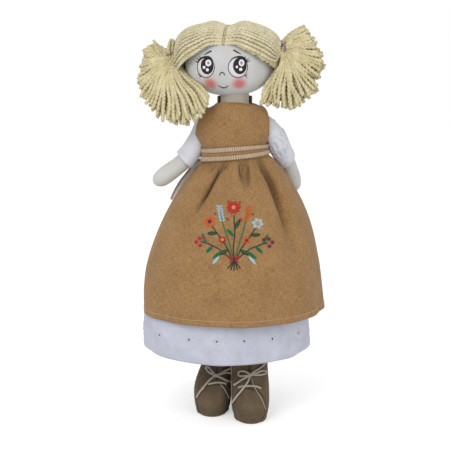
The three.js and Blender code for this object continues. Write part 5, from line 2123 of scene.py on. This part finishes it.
def sew_flower(middle, radius, petals, colour, heart, width=2.6, turned=0.0, seeds=6):
    """Petals round a heart of small knots, drawn a little flatter than round as the skirt slopes."""
    for i in range(petals):
        angle = 2 * math.pi * i / petals + turned
        way = np.array((math.cos(angle), 0.94 * math.sin(angle)))
        sew_petal(colour, middle + 0.3 * radius * way, middle + radius * way, width)
    for i in range(seeds + 1):
        angle = 2 * math.pi * i / seeds
        reach = 0 if i == seeds else 0.17 * radius
        sew_knot(heart, np.array(middle) + reach * np.array((math.cos(angle), math.sin(angle))), 0.55)


def sew_knot(colour, middle, radius):
    """A French knot: a tight ring of floss."""
    run = []
    for angle in np.linspace(0, 2.6 * math.pi, 12):
        x, y = np.array(middle) + radius * np.array((math.cos(angle), math.sin(angle)))
        run.append((on_linen(x, y, floss_lift + 0.12 * angle), 0.9, 0))
    floss_runs[colour].append(run)


def sew_berry(middle, radius, colour="red"):
    """A round berry of upright satin stitches."""
    x, y = middle
    for share in np.linspace(-0.8, 0.8, 5):
        half = radius * math.sqrt(1 - share ** 2)
        sew(colour, [(x + share * radius, y - half), (x + share * radius, y + half)], 1.05, rise=0.5)


def sew_leaf(colour, root, tip, width, vein=None):
    """A leaf in fishbone stitch: slanting stitches from its middle line out to its edges."""
    root, tip = np.array(root, float), np.array(tip, float)
    length = np.linalg.norm(tip - root)
    ahead = (tip - root) / length
    aside = np.array((-ahead[1], ahead[0]))
    count = max(5, int(length / 0.95))
    for i in range(count):
        share = (i + 0.5) / count
        half = width / 2 * math.sin(math.pi * share ** 0.8) ** 0.8
        start = root + ahead * length * max(0, share - 0.16)
        for edge in (-1, 1):
            end = root + ahead * length * min(1, share + 0.1) + edge * aside * half
            sew(colour, [start, end], 1, steps=5)
    if vein is not None:
        sew(vein, [root, root + ahead * length * 0.92], 0.9, rise=0.5)


sew_stem([(234, 262), (233.4, 248), (234.8, 232), (233.8, 215)])
sew_stem([(233, 261), (226.6, 247), (217.6, 234), (212, 226)])
sew_stem([(235, 261), (241.6, 248), (250.4, 236), (255.4, 228)])
sew_stem([(232.4, 261), (221, 250.4), (209, 244), (200.4, 241.4)])
sew_stem([(235.6, 261), (247, 251), (259.6, 245), (268, 242.6)])
sew_stem([(233.4, 259), (228.6, 241), (223, 224), (220.2, 211)], "green")
sew_stem([(234.6, 259), (240, 241), (245.4, 223), (248.2, 211)], "green")
for foot in ((227.6, 268.6), (230.8, 270.4), (234.2, 271), (237.6, 270), (240.6, 268.2)):
    sew_stem([posy_tie, ((posy_tie[0] + foot[0]) / 2, 264.5), foot])

sew_flower((233.6, 207.6), 7.6, 10, "red", "yellow", 2.2)
sew_flower((209.8, 221.6), 6.2, 7, "orange", "wine", 2.6, 0.3)
sew_flower((257.6, 223.4), 6, 6, "pale_blue", "yellow", 2.9, 0.2)
sew_flower((222.4, 239.8), 4, 5, "red", "yellow", 2, 0.5, 4)
sew_flower((246.6, 240.4), 4, 5, "orange", "wine", 2, 0.1, 4)
for middle in ((199.6, 238.2), (196.2, 242), (200.2, 245.4), (204.4, 238.6)):
    sew_berry(middle, 1.7)
for middle in ((268.6, 239), (272.4, 242.2), (269.4, 246.2), (264, 239.6)):
    sew_berry(middle, 1.7, "wine")
for step, share in enumerate(np.linspace(0.25, 1, 6)):
    for edge in (-1, 1):
        root = np.array((223.6, 226)) * (1 - share) + np.array((219.6, 207.6)) * share
        sew_petal("pale_blue", root, root + np.array((edge * 3 - 0.6, -2.6)), 1.1, 2)
        root = np.array((244.8, 226)) * (1 - share) + np.array((248.8, 208)) * share
        sew_petal("orange", root, root + np.array((edge * 2.8 + 0.6, -2.6)), 1.1, 2)
for root, tip in (
    ((228.2, 249.4), (219.6, 254.6)), ((216.6, 233.2), (207.6, 233.4)), ((234.6, 229), (240.2, 219.6)),
    ((239.8, 249.8), (248.8, 255)), ((250.8, 235.4), (260.2, 234.6)),
):
    sew_leaf("dark_green", root, tip, 3.4, "green")
for root, tip in (
    ((213, 246.2), (206, 252.6)), ((222.6, 250.8), (212.6, 258.4)), ((233.4, 236), (227, 229)),
    ((255.4, 246.8), (262.6, 252.8)), ((246.4, 251), (256.4, 258.8)), ((263, 243.6), (268, 234.6)),
    ((206, 242.8), (202, 233.6)),
):
    sew_leaf("green", root, tip, 3.2, "dark_green")
for root, tip in (((219, 256.4), (212, 264.6)), ((249, 256.6), (256.4, 264.8))):
    sew_petal("pale_blue", root, tip, 2.2, 4)
for edge in (-1, 1):
    sew_petal("red", posy_tie, (posy_tie[0] + edge * 6.4, posy_tie[1] - 2.4), 2.6, 4)
    sew_petal("red", posy_tie, (posy_tie[0] + edge * 4.8, posy_tie[1] + 4.6), 1.3, 3)
sew_knot("wine", posy_tie, 0.9)
for middle in ((227.4, 219), (241, 219.6), (215.6, 213.8), (252.4, 214.4), (228.4, 201.8), (240, 202.2)):
    sew_knot("red", middle, 0.7)

for colour, runs in floss_runs.items():
    make_piece("embroidery_" + colour, thread_mesh(runs, floss_radius), cotton_thread(
        "floss_" + colour, floss_colours[colour]), "torso")
